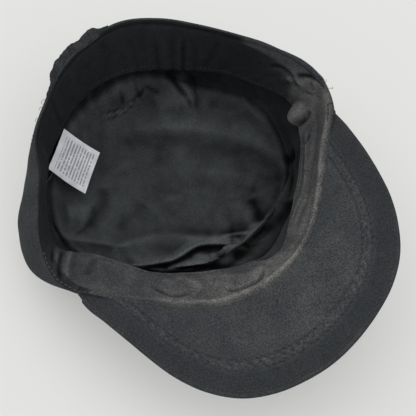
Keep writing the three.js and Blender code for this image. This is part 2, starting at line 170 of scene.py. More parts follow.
# Angle and depth of the pleats at the far side.
BAND_GATHERS = (
    (45, -0.5), (48.5, 0.4), (50.6, -1.0), (52.4, 0.7), (55.5, -0.4), (58.8, 0.4),
    (62.5, -0.7), (66, 0.3), (72, -0.4))
# Painted light with dust, following a line: amount, angle, half width, share across, half width across.
BAND_LIGHT_AND_DUST = (
    (0.50, 290, 45, 0.2, 0.25),
    (0.22, 300, 60, 0.12, 0.14),
    (0.15, 240, 26, 0.6, 0.3),
)
BAND_STEP = 0.72                            # degrees between two lines of points
DEGREE_MM = 1.52                            # one degree along the sweatband
BAND_MM = 30.0                              # from the rim to the deep edge

# Folds of the lining on the flattened cloth: the same columns, points in mm from its middle.
LINING_FOLDS = (
    ("far roll", 4.2, 9.0, 5.0, (10, 63), (23, 54), (37, 45), (48, 34), (59, 21), (68, 6), (73, -5),
     (78, -18)),
    ("under far roll", -1.8, 5.0, 7.0, (-6, 60), (13, 50), (31, 37), (41, 24), (52, 11), (63, 0)),
    ("middle valley", -2.8, 8.0, 8.0, (18, 46), (8, 30), (2, 18), (-1, 8)),
    ("small dent", -1.3, 4.0, 4.0, (-4, 12), (-5, 4), (-6, -5)),
    ("left valley", -3.2, 6.5, 6.5, (-14, 13), (-22, 11), (-30, 10), (-40, 7)),
    ("patch side", -2.6, 4.6, 4.6, (-30, 38), (-35, 30), (-45, 23), (-54, 19)),
    ("patch", 3.2, 5.0, 7.0, (-60, 34), (-52, 31), (-47, 26)),
    ("patch edge", -1.2, 1.2, 1.2, (-64, 18), (-54, 20), (-46, 24), (-42, 30)),
    ("right dent", -1.7, 4.8, 4.8, (42, -22), (40, -32), (36, -41)),
    ("dart left", -2.6, 1.5, 1.5, (49, 82), (50, 68), (51, 59), (49, 51)),
    ("dart right", -2.2, 1.5, 1.5, (63, 70), (57, 58), (51, 49)),
    ("dart fold", 2.4, 2.4, 2.4, (56, 76), (54, 64), (51, 56)),
    ("wrinkle a", -1.7, 0.9, 0.9, (-6, 80), (9, 77), (25, 78), (30, 80)),
    ("wrinkle b", -1.5, 0.8, 0.8, (-4, 75), (10, 74), (22, 76)),
    ("wrinkle ridge", 1.3, 1.3, 1.3, (-4, 78), (10, 75.5), (24, 77)),
    ("wrinkle c", -1.5, 0.9, 0.9, (15, 90), (14, 84), (12, 78)),
    ("wrinkle d", -1.6, 0.9, 0.9, (29, 92), (26, 83), (24, 75)),
    ("wrinkle e", -1.2, 0.9, 0.9, (32, 81), (34, 77), (37, 71)),
    ("far swell", 2.4, 9.0, 9.0, (56, 52), (44, 62), (30, 66)),
    ("inner lint seam", 1.0, 1.2, 1.2, (81, 38), (79, 26), (81, 12)),
    ("upper bag roll", 4.0, 7.0, 3.0, (-84, 24), (-73, 20), (-63, 15), (-55, 9), (-46, 1), (-36, -6)),
    ("tongue", 4.2, 3.2, 8.0, (-56, -6), (-45, -3), (-37, -4), (-27, -7), (-19, -11), (-10, -18),
     (1, -28), (13, -37), (21, -44)),
    ("first lap", 7.4, 9.0, 1.5, (-47, -19), (-34, -24), (-24, -28), (-16, -29), (-9, -29), (-3, -30),
     (4, -34), (13, -41)),
    ("lens", 2.0, 3.0, 3.0, (-12, -33), (-7, -36), (-2, -41), (5, -45), (11, -46)),
    ("second lap", 8.0, 8.0, 1.7, (-30, -33), (-22, -35), (-14, -39), (-8, -43), (-4, -47), (-1, -52),
     (5, -53), (12, -51), (19, -51)),
    ("long crest", 6.0, 5.0, 2.5, (6, -50), (18, -47), (28, -44), (35, -43), (44, -43), (54, -42),
     (66, -36), (74, -26)),
    ("crest wrinkle", 1.4, 1.2, 1.2, (10, -33), (19, -37), (28, -43)),
    ("dark pocket", -11.0, 7.0, 9.0, (10, -66), (22, -62), (36, -58), (50, -54), (62, -50)),
    ("right pocket", -4.0, 3.0, 5.0, (74, -14), (84, -18), (92, -24)),
    ("front swell", 1.6, 10.0, 10.0, (30, 10), (42, -4), (50, -16)),
    ("rib a", 0.5, 3.2, 3.2, (20, 20), (36, 6), (52, -10)),
    ("rib b", 0.4, 3.0, 3.0, (8, 10), (24, -6), (38, -18)),
    ("rib c", 0.5, 3.4, 3.4, (-30, 40), (-12, 44), (8, 40)),
)
# Lighter places of the lining: amount, then place and size in x and in y, mm.
LINING_LIGHTER = ((0.22, -45, 22, -12, 16), (0.12, 30, 30, 40, 26))
# Broad painted light and shade on the lining: x, y, size in mm, share by which the painted light and shade
# changes.
LINING_LIGHT_AND_SHADE = (
    (60, -26, 24, -0.30), (48, -40, 12, -0.25), (-56, 32, 16, 0.38), (-40, 30, 10, 0.20),
    (-30, -30, 22, 0.12), (10, 55, 24, -0.16), (-22, -22, 16, -0.14), (47, 50, 16, 0.22))
# The painted shadow in the pocket under the front, as a fold whose lift is how dark it is.
LINING_POCKET_SHADOW = ("pocket", 1.0, 8.0, 9.0, (6, -66), (22, -63), (36, -59), (50, -55), (64, -50))
# Gathers of the lining's wall: angle and depth.
LINING_GATHERS = (
    (52, 1.3), (60, 1.1), (67, 1.6), (73, 1.2), (80, 1.5), (88, 1.1), (95, 1.6), (103, 1.2),
    (110, 1.4), (118, 1.0))

# The gathered back strip.
CASING_START, CASING_END = 79.0, 116.0
CASING_EDGE = (                             # angle, mm that the lobes stand out over the rim
    (79, 0), (82, 1), (83, 3.1), (84, 5.4), (86.5, 6.1), (89, 5.3), (90, 4.0), (91, 4.8), (92.3, 5.2),
    (95, 6.6), (97.8, 6.5), (100.2, 6.2), (101.3, 6.0), (101.8, 7.3), (104.4, 5.4), (106.9, 4.5),
    (108.8, 3.1), (109.6, 0.6), (116, 0))
CASING_SEAM = (                             # angle, mm from the rim to the seam on top
    (79, -1.2), (85, -2.2), (90, -2.1), (93, -1.5), (96, -0.5), (100.5, 2.8), (103.4, 2.1),
     (107.6, -1.4), (116, -1.2))

# Loose threads: name, radius in mm, then angle, mm out of the rim and mm over it.
THREAD_ENDS = (
    ("back_thread_a", 0.13, (117.5, -1.5, -1.0), (118.2, 0.8, -0.6), (119.2, 1.7, -1.4),
     (119.6, 1.2, -2.6)),
    ("back_thread_b", 0.12, (121.0, -1.5, -1.2), (121.6, 0.9, -1.0), (122.5, 1.5, -2.2)),
    ("back_thread_c", 0.12, (126.0, -1.4, -1.4), (126.6, 1.0, -1.6), (127.6, 1.2, -2.8)),
    ("corner_thread_a", 0.13, (349.5, -1.8, -1.2), (350.0, 0.6, -0.4), (349.4, 1.9, -0.8),
     (350.2, 2.8, -1.2)),
    ("corner_thread_b", 0.12, (352.0, -1.8, -1.0), (352.6, 0.5, 0.0), (353.4, 1.4, -0.4)),
    ("label_thread", 0.15, (141.5, -8.0, -24.0), (145.0, -6.5, -21.0), (149.0, -3.5, -18.5),
     (152.0, -2.6, -17.5)),
)

# The care label hangs from the sweatband's deep edge.
LABEL_START, LABEL_END = 118.5, 140.5
LABEL_LENGTH = 28.3                         # along the satin, mm
LABEL_RUN, LABEL_DROP, LABEL_BEND = 21.0, 18.0, 1.4   # mm out, down and sagging in its middle

# Points of the cloths' grids: along by across, or across alone where every degree is taken.
WALL_POINTS, PANEL_POINTS = 62, 40
LINING_WALL_POINTS, LINING_FLOOR_POINTS = 46, 74
BAND_POINTS = 46
PEAK_POINTS = (420, 100)
GATHERS_POINTS = (260, 46)
LABEL_POINTS = 48
SOFT, CRISP = 80, 60                    # angles under which the shading is smoothed

# The camera: where it looks, its angles and distance, found from the photograph.
CAMERA_TARGET = np.array((3.0, -30.0, 45.0))
CAMERA_AZIMUTH, CAMERA_ELEVATION, CAMERA_DISTANCE, CAMERA_LENS = -36.0, 62.0, 600.0, 89.3


# Curves and sections

def cubic(a, b, c, d, f):
    """A smooth value between b and c."""
    first, second, third = c - a, 2 * a - 5 * b + 4 * c - d, 3 * b - a - 3 * c + d
    return 0.5 * (2 * b + first * f + second * f ** 2 + third * f ** 3)


def around(column, angle):
    """A smooth value of one column through the ring of sections."""
    values = SECTIONS[:, SECTION_COLUMNS.index(column)]
    t = np.mod(angle, 360.0) / STEP
    i = np.floor(t).astype(int) % len(values)
    n = len(values)
    return cubic(values[i - 1], values[i], values[(i + 1) % n], values[(i + 2) % n], t - np.floor(t))


def profile(values, level):
    """A cubic through four values at levels 0, 0.34, 0.68 and 1."""
    knots = (0.0, 0.34, 0.68, 1.0)
    total = 0.0
    for j, value in enumerate(values):
        weight = 1.0
        for m, knot in enumerate(knots):
            if m != j:
                weight = weight * (level - knot) / (knots[j] - knot)
        total = total + weight * value
    return total


def ramp(value, start, run):
    """0 at start, 1 a run further on; a negative run goes the other way."""
    return np.clip((value - start) / run, 0, 1)


def turn(a, b):
    """The angle from b to a, -180 to 180 degrees."""
    return np.mod(np.asarray(a) - b + 180.0, 360.0) - 180.0


def bump(distance, half):
    """1 at no distance, falling to about a third at the half width."""
    return np.exp(-(np.asarray(distance) / half) ** 2)


def polar(angle, reach, z):
    """Points at an angle in degrees, a reach from the axis and a height."""
    a = np.radians(angle)
    return np.stack(np.broadcast_arrays(reach * np.cos(a), reach * np.sin(a), z), -1)


def smooth_line(points, steps=8):
    """A Catmull-Rom line through the points."""
    p = np.asarray(points, float)
    p = np.concatenate((p[:1] * 2 - p[1:2], p, p[-1:] * 2 - p[-2:-1]))
    t = np.linspace(0, 1, steps, endpoint=False)[:, None]
    parts = [cubic(p[i], p[i + 1], p[i + 2], p[i + 3], t) for i in range(len(p) - 3)]
    return np.concatenate(parts + [p[-2:-1]])


def fold_field(x, y, rows, scale=(1.0, 1.0), wrap=False):
    """Adds up folds that follow lines in the plane; returns a lift in mm."""
    total = np.zeros(np.broadcast(x, y).shape)
    for _name, height, left, right, *points in rows:
        line = np.asarray(points, float)
        px, py = x * scale[0], y * scale[1]
        if wrap:
            first = line[0, 0]
            px = turn(x, first) * scale[0]
            line[:, 0] = turn(line[:, 0], first)
        line = smooth_line(line) * np.array(scale)
        wide = 3 * max(left, right)
        near = (px > line[:, 0].min() - wide) & (px < line[:, 0].max() + wide)
        near &= (py > line[:, 1].min() - wide) & (py < line[:, 1].max() + wide)
        qx, qy = px[near], py[near]
        best = np.full(qx.shape, 1e9)
        where, side = np.zeros(qx.shape), np.zeros(qx.shape)
        for k in range(len(line) - 1):
            a, d = line[k], line[k + 1] - line[k]
            t = np.clip(((qx - a[0]) * d[0] + (qy - a[1]) * d[1]) / max(d @ d, 1e-9), 0, 1)
            away = np.hypot(qx - a[0] - t * d[0], qy - a[1] - t * d[1])
            closer = away < best
            best = np.where(closer, away, best)
            where = np.where(closer, (k + t) / (len(line) - 1), where)
            side = np.where(closer, d[0] * (qy - a[1]) - d[1] * (qx - a[0]), side)
        ends = ramp(where, 0, FOLD_TAPER) * ramp(where, 1, -FOLD_TAPER)
        ends = FOLD_LEAST + (1 - FOLD_LEAST) * ends * (2 - ends)
        total[near] += height * ends * np.exp(-(best / np.where(side > 0, left, right)) ** 1.7)
    return total


def ripple(points, scale, seed):
    """Perlin noise at each point, about -1 to 1."""
    flat = points.reshape(-1, 3) / scale
    values = [noise.noise(Vector((p[0] + seed, p[1] - seed, p[2] + 2 * seed))) for p in flat.tolist()]
    return np.array(values).reshape(points.shape[:-1])


def front_part(angle):
    """1 where the peak is sewn on, 0 at the back."""
    return ramp(np.abs(turn(angle, 278)), 102, -16)


def wall_points(angle, level):
    """The outer wall, with its dents; level 0 at the crown seam, 1 at the rim."""
    height = around("height", angle) - 1.2 - WALL_DIP * front_part(angle)
    reach = profile([around(c, angle) for c in ("seam", "low", "high", "rim")], level)
    for at, middle, span, rise, out in WALL_SHAPES:
        part = bump(turn(angle, at), span) * bump(level - middle, rise)
        reach = reach + out * part * np.minimum(1, np.minimum(6 * (1 - level), 8 * level))
    return polar(angle, reach, profile((SEAM_Z, 0.36 * height, 0.7 * height, height), level))


def band_points(angle, across):
    """The sweatband's inner face before its folds, and the way its folds lift."""
    outward = front_part(angle)
    top = (around("rim", angle) - BAND_TUCK + BAND_OUT * outward, around("height", angle) + 0.1 - outward)
    deep = (around("band", angle), around("band_z", angle))
    run = (deep[0] - top[0], deep[1] - top[1])
    length = np.hypot(*run)
    normal = (run[1] / length, -run[0] / length)
    lift = 1.2 * np.sin(np.pi * np.clip(across, 0, 1))
    reach, height = (top[k] + run[k] * across + normal[k] * lift for k in (0, 1))
    return polar(angle, reach, height), polar(angle, *normal)


def hem_share(angle):
    """Where the sweatband's hem lies, as a share of its full width."""
    hem = np.array(BAND_HEM)
    return np.interp(np.mod(angle, 360), hem[:, 0], hem[:, 1])


def lining_points(angle, path):
    """The lining before its folds: path 0 to 1 down the wall, 1 to 2 in to the middle."""
    height = around("height", angle)
    floor, drape, seam = around("floor", angle), around("drape", angle), around("panel", angle)
    slump = bump(turn(angle, 268), 62)
    held = ramp(seam, 6, 20)
    top = around("high", angle) * 0.95 - LINING_CLEAR
    low = 0.35 * drape + 0.65 * floor + 1.5
    low = np.where(seam > 12, np.maximum(low, floor + 1.0), low)
    edge = 0.72 * (height - 4)
    share = hem_share(angle)
    hem = band_points(angle, share)[0]
    short = ramp(share, 1, -0.1)
    top = top + short * (np.hypot(hem[..., 0], hem[..., 1]) + 2.4 - top)
    edge = edge + short * (hem[..., 2] - 0.8 - edge)
    upper = (0.44 - 0.1 * slump) * height * (1 - held) + (0.66 * edge + 0.34 * seam) * held
    lower = (0.16 * height + 1) * (1 - held) + (0.32 * edge + 0.68 * seam) * held
    wall = np.clip(path, 0, 1)
    part = np.clip(2 - path, 0, 1)
    reach = np.where(path > 1, floor * part, profile((top, drape, low, floor), wall))
    z = np.where(path > 1, 3.6 + (seam - 3.6) * part ** 5, profile((edge, upper, lower, seam), wall))
    return polar(angle, reach, z)


def view_back():
    """The way from the cap to the camera; laps of the lining lean this way."""
    azimuth, elevation = math.radians(CAMERA_AZIMUTH), math.radians(CAMERA_ELEVATION)
    level = math.cos(elevation)
    return (math.sin(azimuth) * level, -math.cos(azimuth) * level, math.sin(elevation))


def peak_height(x, y):
    """Height of the peak's seen face."""
    side = x / PEAK_HALF
    lifted = PEAK_LIFT * np.maximum(0, PEAK_LIFT_Y - y)
    return PEAK_FRONT_Z + PEAK_ROLL * side + PEAK_CURVE * side ** 2 + lifted


def peak_outline(angle):
    """Reach of the peak's edge from the peak's own centre."""
    t = np.clip((np.asarray(angle, float) - 170.0) / 10.0, 0, len(PEAK_OUTLINE) - 1.0001)
    i = np.floor(t).astype(int)
    last = len(PEAK_OUTLINE) - 1
    at = [PEAK_OUTLINE[np.clip(i + k, 0, last)] for k in (-1, 0, 1, 2)]
    return cubic(*at, t - i)


def peak_root(angle, gap=-0.7):
    """Reach of the peak's root from the peak's own centre."""
    reach = np.full(np.shape(angle), 20.0)
    c, s = np.cos(np.radians(angle)), np.sin(np.radians(angle))
    for _ in range(400):
        x, y = reach * c, PEAK_CENTRE_Y + reach * s
        inside = np.hypot(x, y) < around("rim", np.degrees(np.arctan2(y, x))) + gap
        reach = np.where(inside, reach + 0.25, reach)
    return reach


def peak_points(angle, reach):
    """Points of the peak's seen face."""
    x = reach * np.cos(np.radians(angle))
    y = PEAK_CENTRE_Y + reach * np.sin(np.radians(angle))
    return np.stack(np.broadcast_arrays(x, y, peak_height(x, y)), -1)


def eased(table, angle, cells):
    """A table of angle and mm, read at even angles and averaged over the cells on each side."""
    columns = np.array(table)
    values = np.interp(angle, columns[:, 0], columns[:, 1])
    width = 2 * cells + 1
    return np.convolve(np.pad(values, cells, mode="edge"), np.full(width, 1 / width), mode="valid")


def cavity(lift, cells, gain, closed=True):
    """How far a lift stands over its surroundings: 0.5 is level, less is a hollow; used as painted shade in
    hollows and painted light on crests.
    """
    total = np.zeros(lift.shape)
    for k in (-cells, -cells // 2, cells // 2, cells):
        if closed:
            total += np.roll(lift, k, axis=0)
        else:
            total += lift[np.clip(np.arange(len(lift)) + k, 0, len(lift) - 1)]
        total += lift[:, np.clip(np.arange(lift.shape[1]) + k, 0, lift.shape[1] - 1)]
    return 0.5 + gain * np.tanh((lift - total / 8) * 0.9)


def band_shape():
    """The sweatband's inner face with its folds."""
    angle = np.arange(0, 360, BAND_STEP)[:, None]
    across = np.linspace(0, 1, BAND_POINTS)[None, :]
    even = across
    across = across * hem_share(angle)
    base, way = band_points(angle, across)
    lift = fold_field(angle + 0 * across, across, BAND_FOLDS, (DEGREE_MM, BAND_MM), wrap=True)
    at, middle, span, reach, high = BAND_KNOB
    knob = np.sqrt((turn(angle, at) / span) ** 2 + ((across - middle) / reach) ** 2)
    lift = lift + high * np.clip(1 - knob ** 2, 0, 1)
    lift = lift + 0.55 * ripple(base, 17.0, 2.2) + 0.30 * ripple(base, 5.0, 9.1)
    lift = lift + 0.5 * bump(even - 0.975, 0.03)
    for pleat, deep in BAND_GATHERS:
        lift = lift + 1.2 * deep * bump(turn(angle, pleat), 0.8) * ramp(across, 0.15, 0.4)
    lift = lift * np.clip(across / 0.06, 0.12, 1)
    edge = ramp(even, 0.93, 0.07) ** 2
    bulge = 3.6 * np.clip(1 - (turn(angle, at) / span) ** 2, 0, 1) * ramp(even, 0.55, 0.45)
    moved = base + way * (lift - 1.1 * edge)[..., None] - polar(angle, 1.0, 0.0) * bulge[..., None]
    return angle, across, moved, lift


def lining_shape():
    """The lining with its folds, and its points on the flattened cloth."""
    angle = np.arange(0, 360, 1.0)[:, None]
    path = np.linspace(0, 1, LINING_WALL_POINTS)
    path = np.concatenate((path, 1 + np.linspace(0, 1, LINING_FLOOR_POINTS)[1:]))[None, :]
    points = lining_points(angle, path)
    step = np.linalg.norm(np.diff(points, axis=1), axis=2)
    length = np.concatenate((np.cumsum(step[:, ::-1], axis=1)[:, ::-1], np.zeros((360, 1))), axis=1)
    flat_x, flat_y = length * np.cos(np.radians(angle)), length * np.sin(np.radians(angle))
    lift = fold_field(flat_x, flat_y, LINING_FOLDS)
    for at, deep in LINING_GATHERS:
        pull = bump(turn(angle, at), 1.6) * np.sin(np.pi * np.clip(path / 1.10, 0, 1)) ** 0.8
        lift = lift + deep * 1.6 * pull * (path < 1.10)
    lift = lift + 0.9 * ripple(points, 16.0, 5.5) + 0.45 * ripple(points, 6.5, 1.7)
    lift = lift - 1.3 * bump(path - 1.0, 0.014) + 0.7 * bump(path - 1.035, 0.02)
    lift = lift * (1 - bump(path, 0.10)) * ramp(path, 2, -0.03)
    inward = -polar(angle, 1.0, 0.0) * np.ones_like(path)[..., None]
    across = ramp(path, 0.8, 0.3)[..., None]
    way = inward * (1 - across) + np.array(view_back()) * across
    moved = points + way / np.linalg.norm(way, axis=-1, keepdims=True) * lift[..., None]
    moved[..., 2] = np.maximum(moved[..., 2], 2.6)
    moved[:, -1] = moved[:, -1].mean(axis=0)
    return angle, path, flat_x, flat_y, moved, lift


# Meshes
HALF_WIDTH = 90.0                           # about half the cap's width, mm


def deselect():
    """Leaves edit mode and selects nothing."""
    if bpy.context.object and bpy.context.object.mode != "OBJECT":
        bpy.ops.object.mode_set(mode="OBJECT")
    bpy.ops.object.select_all(action="DESELECT")


def activate(piece):
    """Selects one piece alone."""
    deselect()
    piece.select_set(True)
    bpy.context.view_layer.objects.active = piece


def apply(piece, kind, **values):
    """Adds a modifier with its values and applies it."""
    activate(piece)
    modifier = piece.modifiers.new(kind.title(), kind)
    for key, value in values.items():
        setattr(modifier, key, value)
    bpy.ops.object.modifier_apply(modifier=modifier.name)


def edit_mesh(piece, step, **values):
    """Runs one mesh operation on the whole of a piece."""
    activate(piece)
    bpy.ops.object.mode_set(mode="EDIT")
    bpy.ops.mesh.select_all(action="SELECT")
    step(**values)
    bpy.ops.object.mode_set(mode="OBJECT")


def sheet_mesh(name, points, uv, closed=False, pole=False, relief=None):
    """A sheet from a primitive grid whose points are moved onto the cloth's own places; relief is the
    painted light and shade kept on its points.
    """
    if closed:
        if len(uv) == len(points):
            uv = np.concatenate((uv, uv[:1]))
        points = np.concatenate((points, points[:1]))
        if relief is not None:
            relief = np.concatenate((relief, relief[:1]))
    nu, nv = points.shape[:2]
    deselect()
    bpy.ops.mesh.primitive_grid_add(x_subdivisions=nu - 1, y_subdivisions=nv - 1, size=2)
    piece = bpy.context.object
    piece.name = piece.data.name = name
    mesh = piece.data
    old = np.empty(len(mesh.vertices) * 3)
    mesh.vertices.foreach_get("co", old)
    old = old.reshape(-1, 3)
    i = np.rint((old[:, 0] + 1) / 2 * (nu - 1)).astype(int)
    j = np.rint((old[:, 1] + 1) / 2 * (nv - 1)).astype(int)
    mesh.vertices.foreach_set("co", ((points[i, j] + SHIFT) * MM).ravel())
    loops = np.empty(len(mesh.loops), int)
    mesh.loops.foreach_get("vertex_index", loops)
    while mesh.uv_layers:
        mesh.uv_layers.remove(mesh.uv_layers[0])
    layer = mesh.uv_layers.new(name="cloth_mm")
    layer.data.foreach_set("uv", uv[i[loops], j[loops]].ravel())
    # relief is painted light and shade: 0.5 leaves the colour as it is, less is painted shade, more is
    # painted light
    shade_of = np.full(len(i), 0.5) if relief is None else np.clip(relief[i, j], 0.02, 1)
    tone = mesh.attributes.new("tone", "FLOAT", "POINT")
    tone.data.foreach_set("value", shade_of.astype(np.float32))
    if closed or pole:
        edit_mesh(piece, bpy.ops.mesh.remove_doubles, threshold=1e-6)
    mesh.update()
    return piece


def face_out(piece):
    """Turns all faces outwards."""
    edit_mesh(piece, bpy.ops.mesh.normals_make_consistent, inside=False)


def thicken(piece, thickness, outward=0, up=0):
    """Gives a sheet its cloth's thickness on the side that looks outward, or up."""
    mesh = piece.data
    normals = np.empty(len(mesh.vertices) * 3)
    mesh.vertex_normals.foreach_get("vector", normals)
    way = places_of(piece) * np.array((outward, outward, 0)) / HALF_WIDTH + np.array((0, 0, up))
    side = np.mean(np.sum(normals.reshape(-1, 3) * way, axis=1))
    apply(piece, "SOLIDIFY", thickness=thickness * MM, offset=1.0 if side > 0 else -1.0,
          use_even_offset=False, use_quality_normals=True)
    face_out(piece)


def shade(piece, angle):
    """Smooths the shading where faces meet at less than an angle."""
    activate(piece)
    bpy.ops.object.shade_smooth_by_angle(angle=math.radians(angle))


def places_of(piece):
    """The mesh's points in the cap's own axes, in mm."""
    co = np.empty(len(piece.data.vertices) * 3)
    piece.data.vertices.foreach_get("co", co)
    return co.reshape(-1, 3) / MM - SHIFT


def paint(piece, name, values):
    """Stores one number per point for the material to read."""
    layer = piece.data.attributes.new(name, "FLOAT", "POINT")
    layer.data.foreach_set("value", np.clip(values, 0, 1).astype(np.float32))


def finish(piece, slot, material, *nodes):
    """Gives the piece its cloth and its place in the part."""
    piece.data.materials.clear()
    piece.data.materials.append(material)
    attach(piece, "root")
    if nodes:
        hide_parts(*nodes)
    return piece


def strands(name, centres, along, normal, length, width, height, sides=6, rings=5):
    """Many short thread stitches as one mesh: a flattened spindle at each centre."""
    t = np.linspace(-1, 1, rings)
    a = np.linspace(0, 2 * np.pi, sides, endpoint=False)
    swell = np.sqrt(np.clip(1 - (t * 0.96) ** 4, 0, 1))
    along = along / np.linalg.norm(along, axis=1, keepdims=True)
    side = np.cross(normal, along)
    side /= np.linalg.norm(side, axis=1, keepdims=True)
    up = np.cross(along, side)
    ring = (along[:, None, None] * (t * length / 2)[None, :, None, None]
            + side[:, None, None] * (swell[:, None] * np.cos(a) * width / 2)[None, :, :, None]
            + up[:, None, None] * (swell[:, None] * np.sin(a) * height / 2)[None, :, :, None])
    points = (centres[:, None, None] + ring).reshape(-1, 3)
    faces = []
    per = rings * sides
    for k in range(len(centres)):
        for r in range(rings - 1):
            for s in range(sides):
                q, w = k * per + r * sides, (s + 1) % sides
                faces.append((q + s, q + w, q + sides + w, q + sides + s))
        faces.append(tuple(k * per + s for s in reversed(range(sides))))
        faces.append(tuple(k * per + (rings - 1) * sides + s for s in range(sides)))
    mesh = bpy.data.meshes.new(name)
    mesh.from_pydata(((points + SHIFT) * MM).tolist(), [], faces)
    piece = bpy.data.objects.new(name, mesh)
    bpy.context.scene.collection.objects.link(piece)
    face_out(piece)
    activate(piece)
    bpy.ops.object.shade_smooth()
    return piece


def walk(points, pitch):
    """Points at an even pitch along a line, with the direction there."""
    step = np.linalg.norm(np.diff(points, axis=0), axis=1)
    run = np.concatenate(([0], np.cumsum(step)))
    at = np.arange(pitch / 2, run[-1], pitch)
    here = np.stack([np.interp(at, run, points[:, k]) for k in range(3)], -1)
    ahead = np.stack([np.interp(at + 0.3, run, points[:, k]) for k in range(3)], -1)
    behind = np.stack([np.interp(at - 0.3, run, points[:, k]) for k in range(3)], -1)
    return here, ahead - behind


def on_surface(piece, points, lift):
    """Moves points to the nearest place on a piece, lifted by its normal; also the normals."""
    places, normals = [], []
    for p in points:
        ok, near, normal, _face = piece.closest_point_on_mesh(Vector((p + SHIFT) * MM))
        if not ok:
            raise RuntimeError("a stitch has no cloth under it")
        normals.append(normal)
        places.append(np.array(near) / MM - SHIFT + np.array(normal) * lift)
    return np.array(places), np.array(normals)


def stitch_row(piece, line, pitch, lift):
    """The centres, directions and normals of a row of stitches on a piece."""
    here, along = walk(line, pitch)
    places, normals = on_surface(piece, here, lift)
    return places, along, normals


def line_piece(name, line, radius, detail, closed=False):
    """A round cord or thread along a line, its ends capped unless it is closed."""
    curve = bpy.data.curves.new(name, "CURVE")
    curve.dimensions = "3D"
    curve.bevel_depth = radius * MM
    curve.bevel_resolution = detail
    curve.use_fill_caps = not closed
    spline = curve.splines.new("POLY")
    spline.points.add(len(line) - 1)
    spline.use_cyclic_u = closed
    for point, place in zip(spline.points, line):
        point.co = (*((place + SHIFT) * MM), 1)
    piece = bpy.data.objects.new(name, curve)
    bpy.context.scene.collection.objects.link(piece)
    activate(piece)
    bpy.ops.object.convert(target="MESH")
    bpy.ops.object.shade_smooth()
    return bpy.context.object


# Materials

class Tree:
    """A node tree, with short ways to add what the cloths share."""

    def __init__(self, tree):
        self.tree = tree

    def node(self, kind, **values):
        """Adds a shader node and sets its properties."""
        node = self.tree.nodes.new("ShaderNode" + kind)
        for key, value in values.items():
            setattr(node, key, value)
        return node

    def feed(self, socket, value):
        """Links a socket to another, or sets its number or colour."""
        if isinstance(value, bpy.types.NodeSocket):
            self.tree.links.new(value, socket)
        else:
            socket.default_value = value

    def math(self, operation, a, b=None, clamp=False):
        node = self.node("Math", operation=operation, use_clamp=clamp)
        self.feed(node.inputs[0], a)
        if b is not None:
            self.feed(node.inputs[1], b)
        return node.outputs[0]

    def add(self, a, b):
        return self.math("ADD", a, b)

    def times(self, a, b, clamp=False):
        return self.math("MULTIPLY", a, b, clamp)

    def noise(self, vector, scale, detail=2.0, rough=0.5):
        node = self.node("TexNoise")
        for label, value in (("Vector", vector), ("Scale", scale), ("Detail", detail), ("Roughness", rough)):
            self.feed(node.inputs[label], value)
        return node.outputs["Fac"]

    def ramp(self, value, low, high):
        """A soft step from 0 at low to 1 at high."""
        node = self.node("MapRange", interpolation_type="SMOOTHSTEP")
        for label, number in (("Value", value), ("From Min", low), ("From Max", high)):
            self.feed(node.inputs[label], number)
        return node.outputs["Result"]

    def mix(self, factor, a, b):
        """Mixes two colours; a colour mix has its sockets at 0, 6 and 7 and its result at 2."""
        node = self.node("Mix", data_type="RGBA")
        for index, value in ((0, factor), (6, a), (7, b)):
            self.feed(node.inputs[index], value)
        return node.outputs[2]

    def split(self, vector):
        node = self.node("SeparateXYZ")
        self.feed(node.inputs[0], vector)
        return node.outputs

    def group(self, kind, **values):
        """Adds one of the shared groups and returns its outputs."""
        node = self.node("Group", node_tree=LOOKS[kind])
        for label, value in values.items():
            self.feed(node.inputs[label], value)
        return node.outputs

    def cloth_uv(self):
        return self.node("UVMap", uv_map="cloth_mm").outputs[0]

    def painted(self, name):
        return self.node("Attribute", attribute_name=name).outputs["Fac"]

    def relief(self, shader, height, strength, deep):
        """Raises a height, deep mm at most, on the shader's normal."""
        node = self.node("Bump")
        for label, value in (("Height", height), ("Strength", strength), ("Distance", deep * MM)):
            self.feed(node.inputs[label], value)
        self.feed(shader["Normal"], node.outputs[0])


LOOKS = {}                                  # the shared node groups and the materials, by name

# Shader settings of the cloths, the threads and the label.
CLOTH_SHADER = {"Roughness": 0.95, "Specular IOR Level": 0.12, "Sheen Weight": 0.02,
                "Sheen Roughness": 0.5, "Sheen Tint": (0.75, 0.78, 0.82, 1)}
THREAD_SHADER = {"Roughness": 0.7, "Specular IOR Level": 0.35}
LABEL_SHADER = {"Roughness": 0.42, "Sheen Weight": 0.2}

# Cloths: name, material, colour setting, colour where dust and painted light are full, thread pitch in mm,
# share of twill, and the amounts of dust, lint and mottling.
CLOTHS = (
    ("outer", "outer_twill", "twill", (0.070, 0.074, 0.076), 0.85, 1.0, 0.10, 0.05, 0.35),
    ("peak", "peak_twill", "peak", (0.105, 0.104, 0.102), 0.85, 1.0, 0.12, 0.06, 0.35),
    ("inner", "lining_cotton", "lining", (0.085, 0.090, 0.090), 1.0, 0.0, 0.04, 0.08, 0.20),
    ("band", "band_cotton", "band", (0.150, 0.146, 0.134), 0.8, 0.6, 0.04, 0.06, 0.26),
)
THREADS = (
    ("thread", "dark_thread", (0.060, 0.060, 0.062)),
    ("dusty_thread", "dusty_thread", (0.115, 0.112, 0.106)),
    ("loose_thread", "loose_thread", (0.03, 0.03, 0.03)),
)

# Grains of the dust: noise scale per metre, detail, roughness, then where it starts and is full.
DUST_GRAINS = (
    (55.0, 3.0, 0.6, 0.32, 0.72),           # broad patches
    (1300.0, 3.0, 0.7, 0.30, 0.75),         # fine dust
    (1500.0, 1.0, 0.5, 0.69, 0.76),         # specks of lint
    (1250.0, 2.0, 0.7, 0.32, 0.68),         # mottling
)
LINT_COLOUR = (0.20, 0.20, 0.19, 1)
FULL_TURN = 6.28318

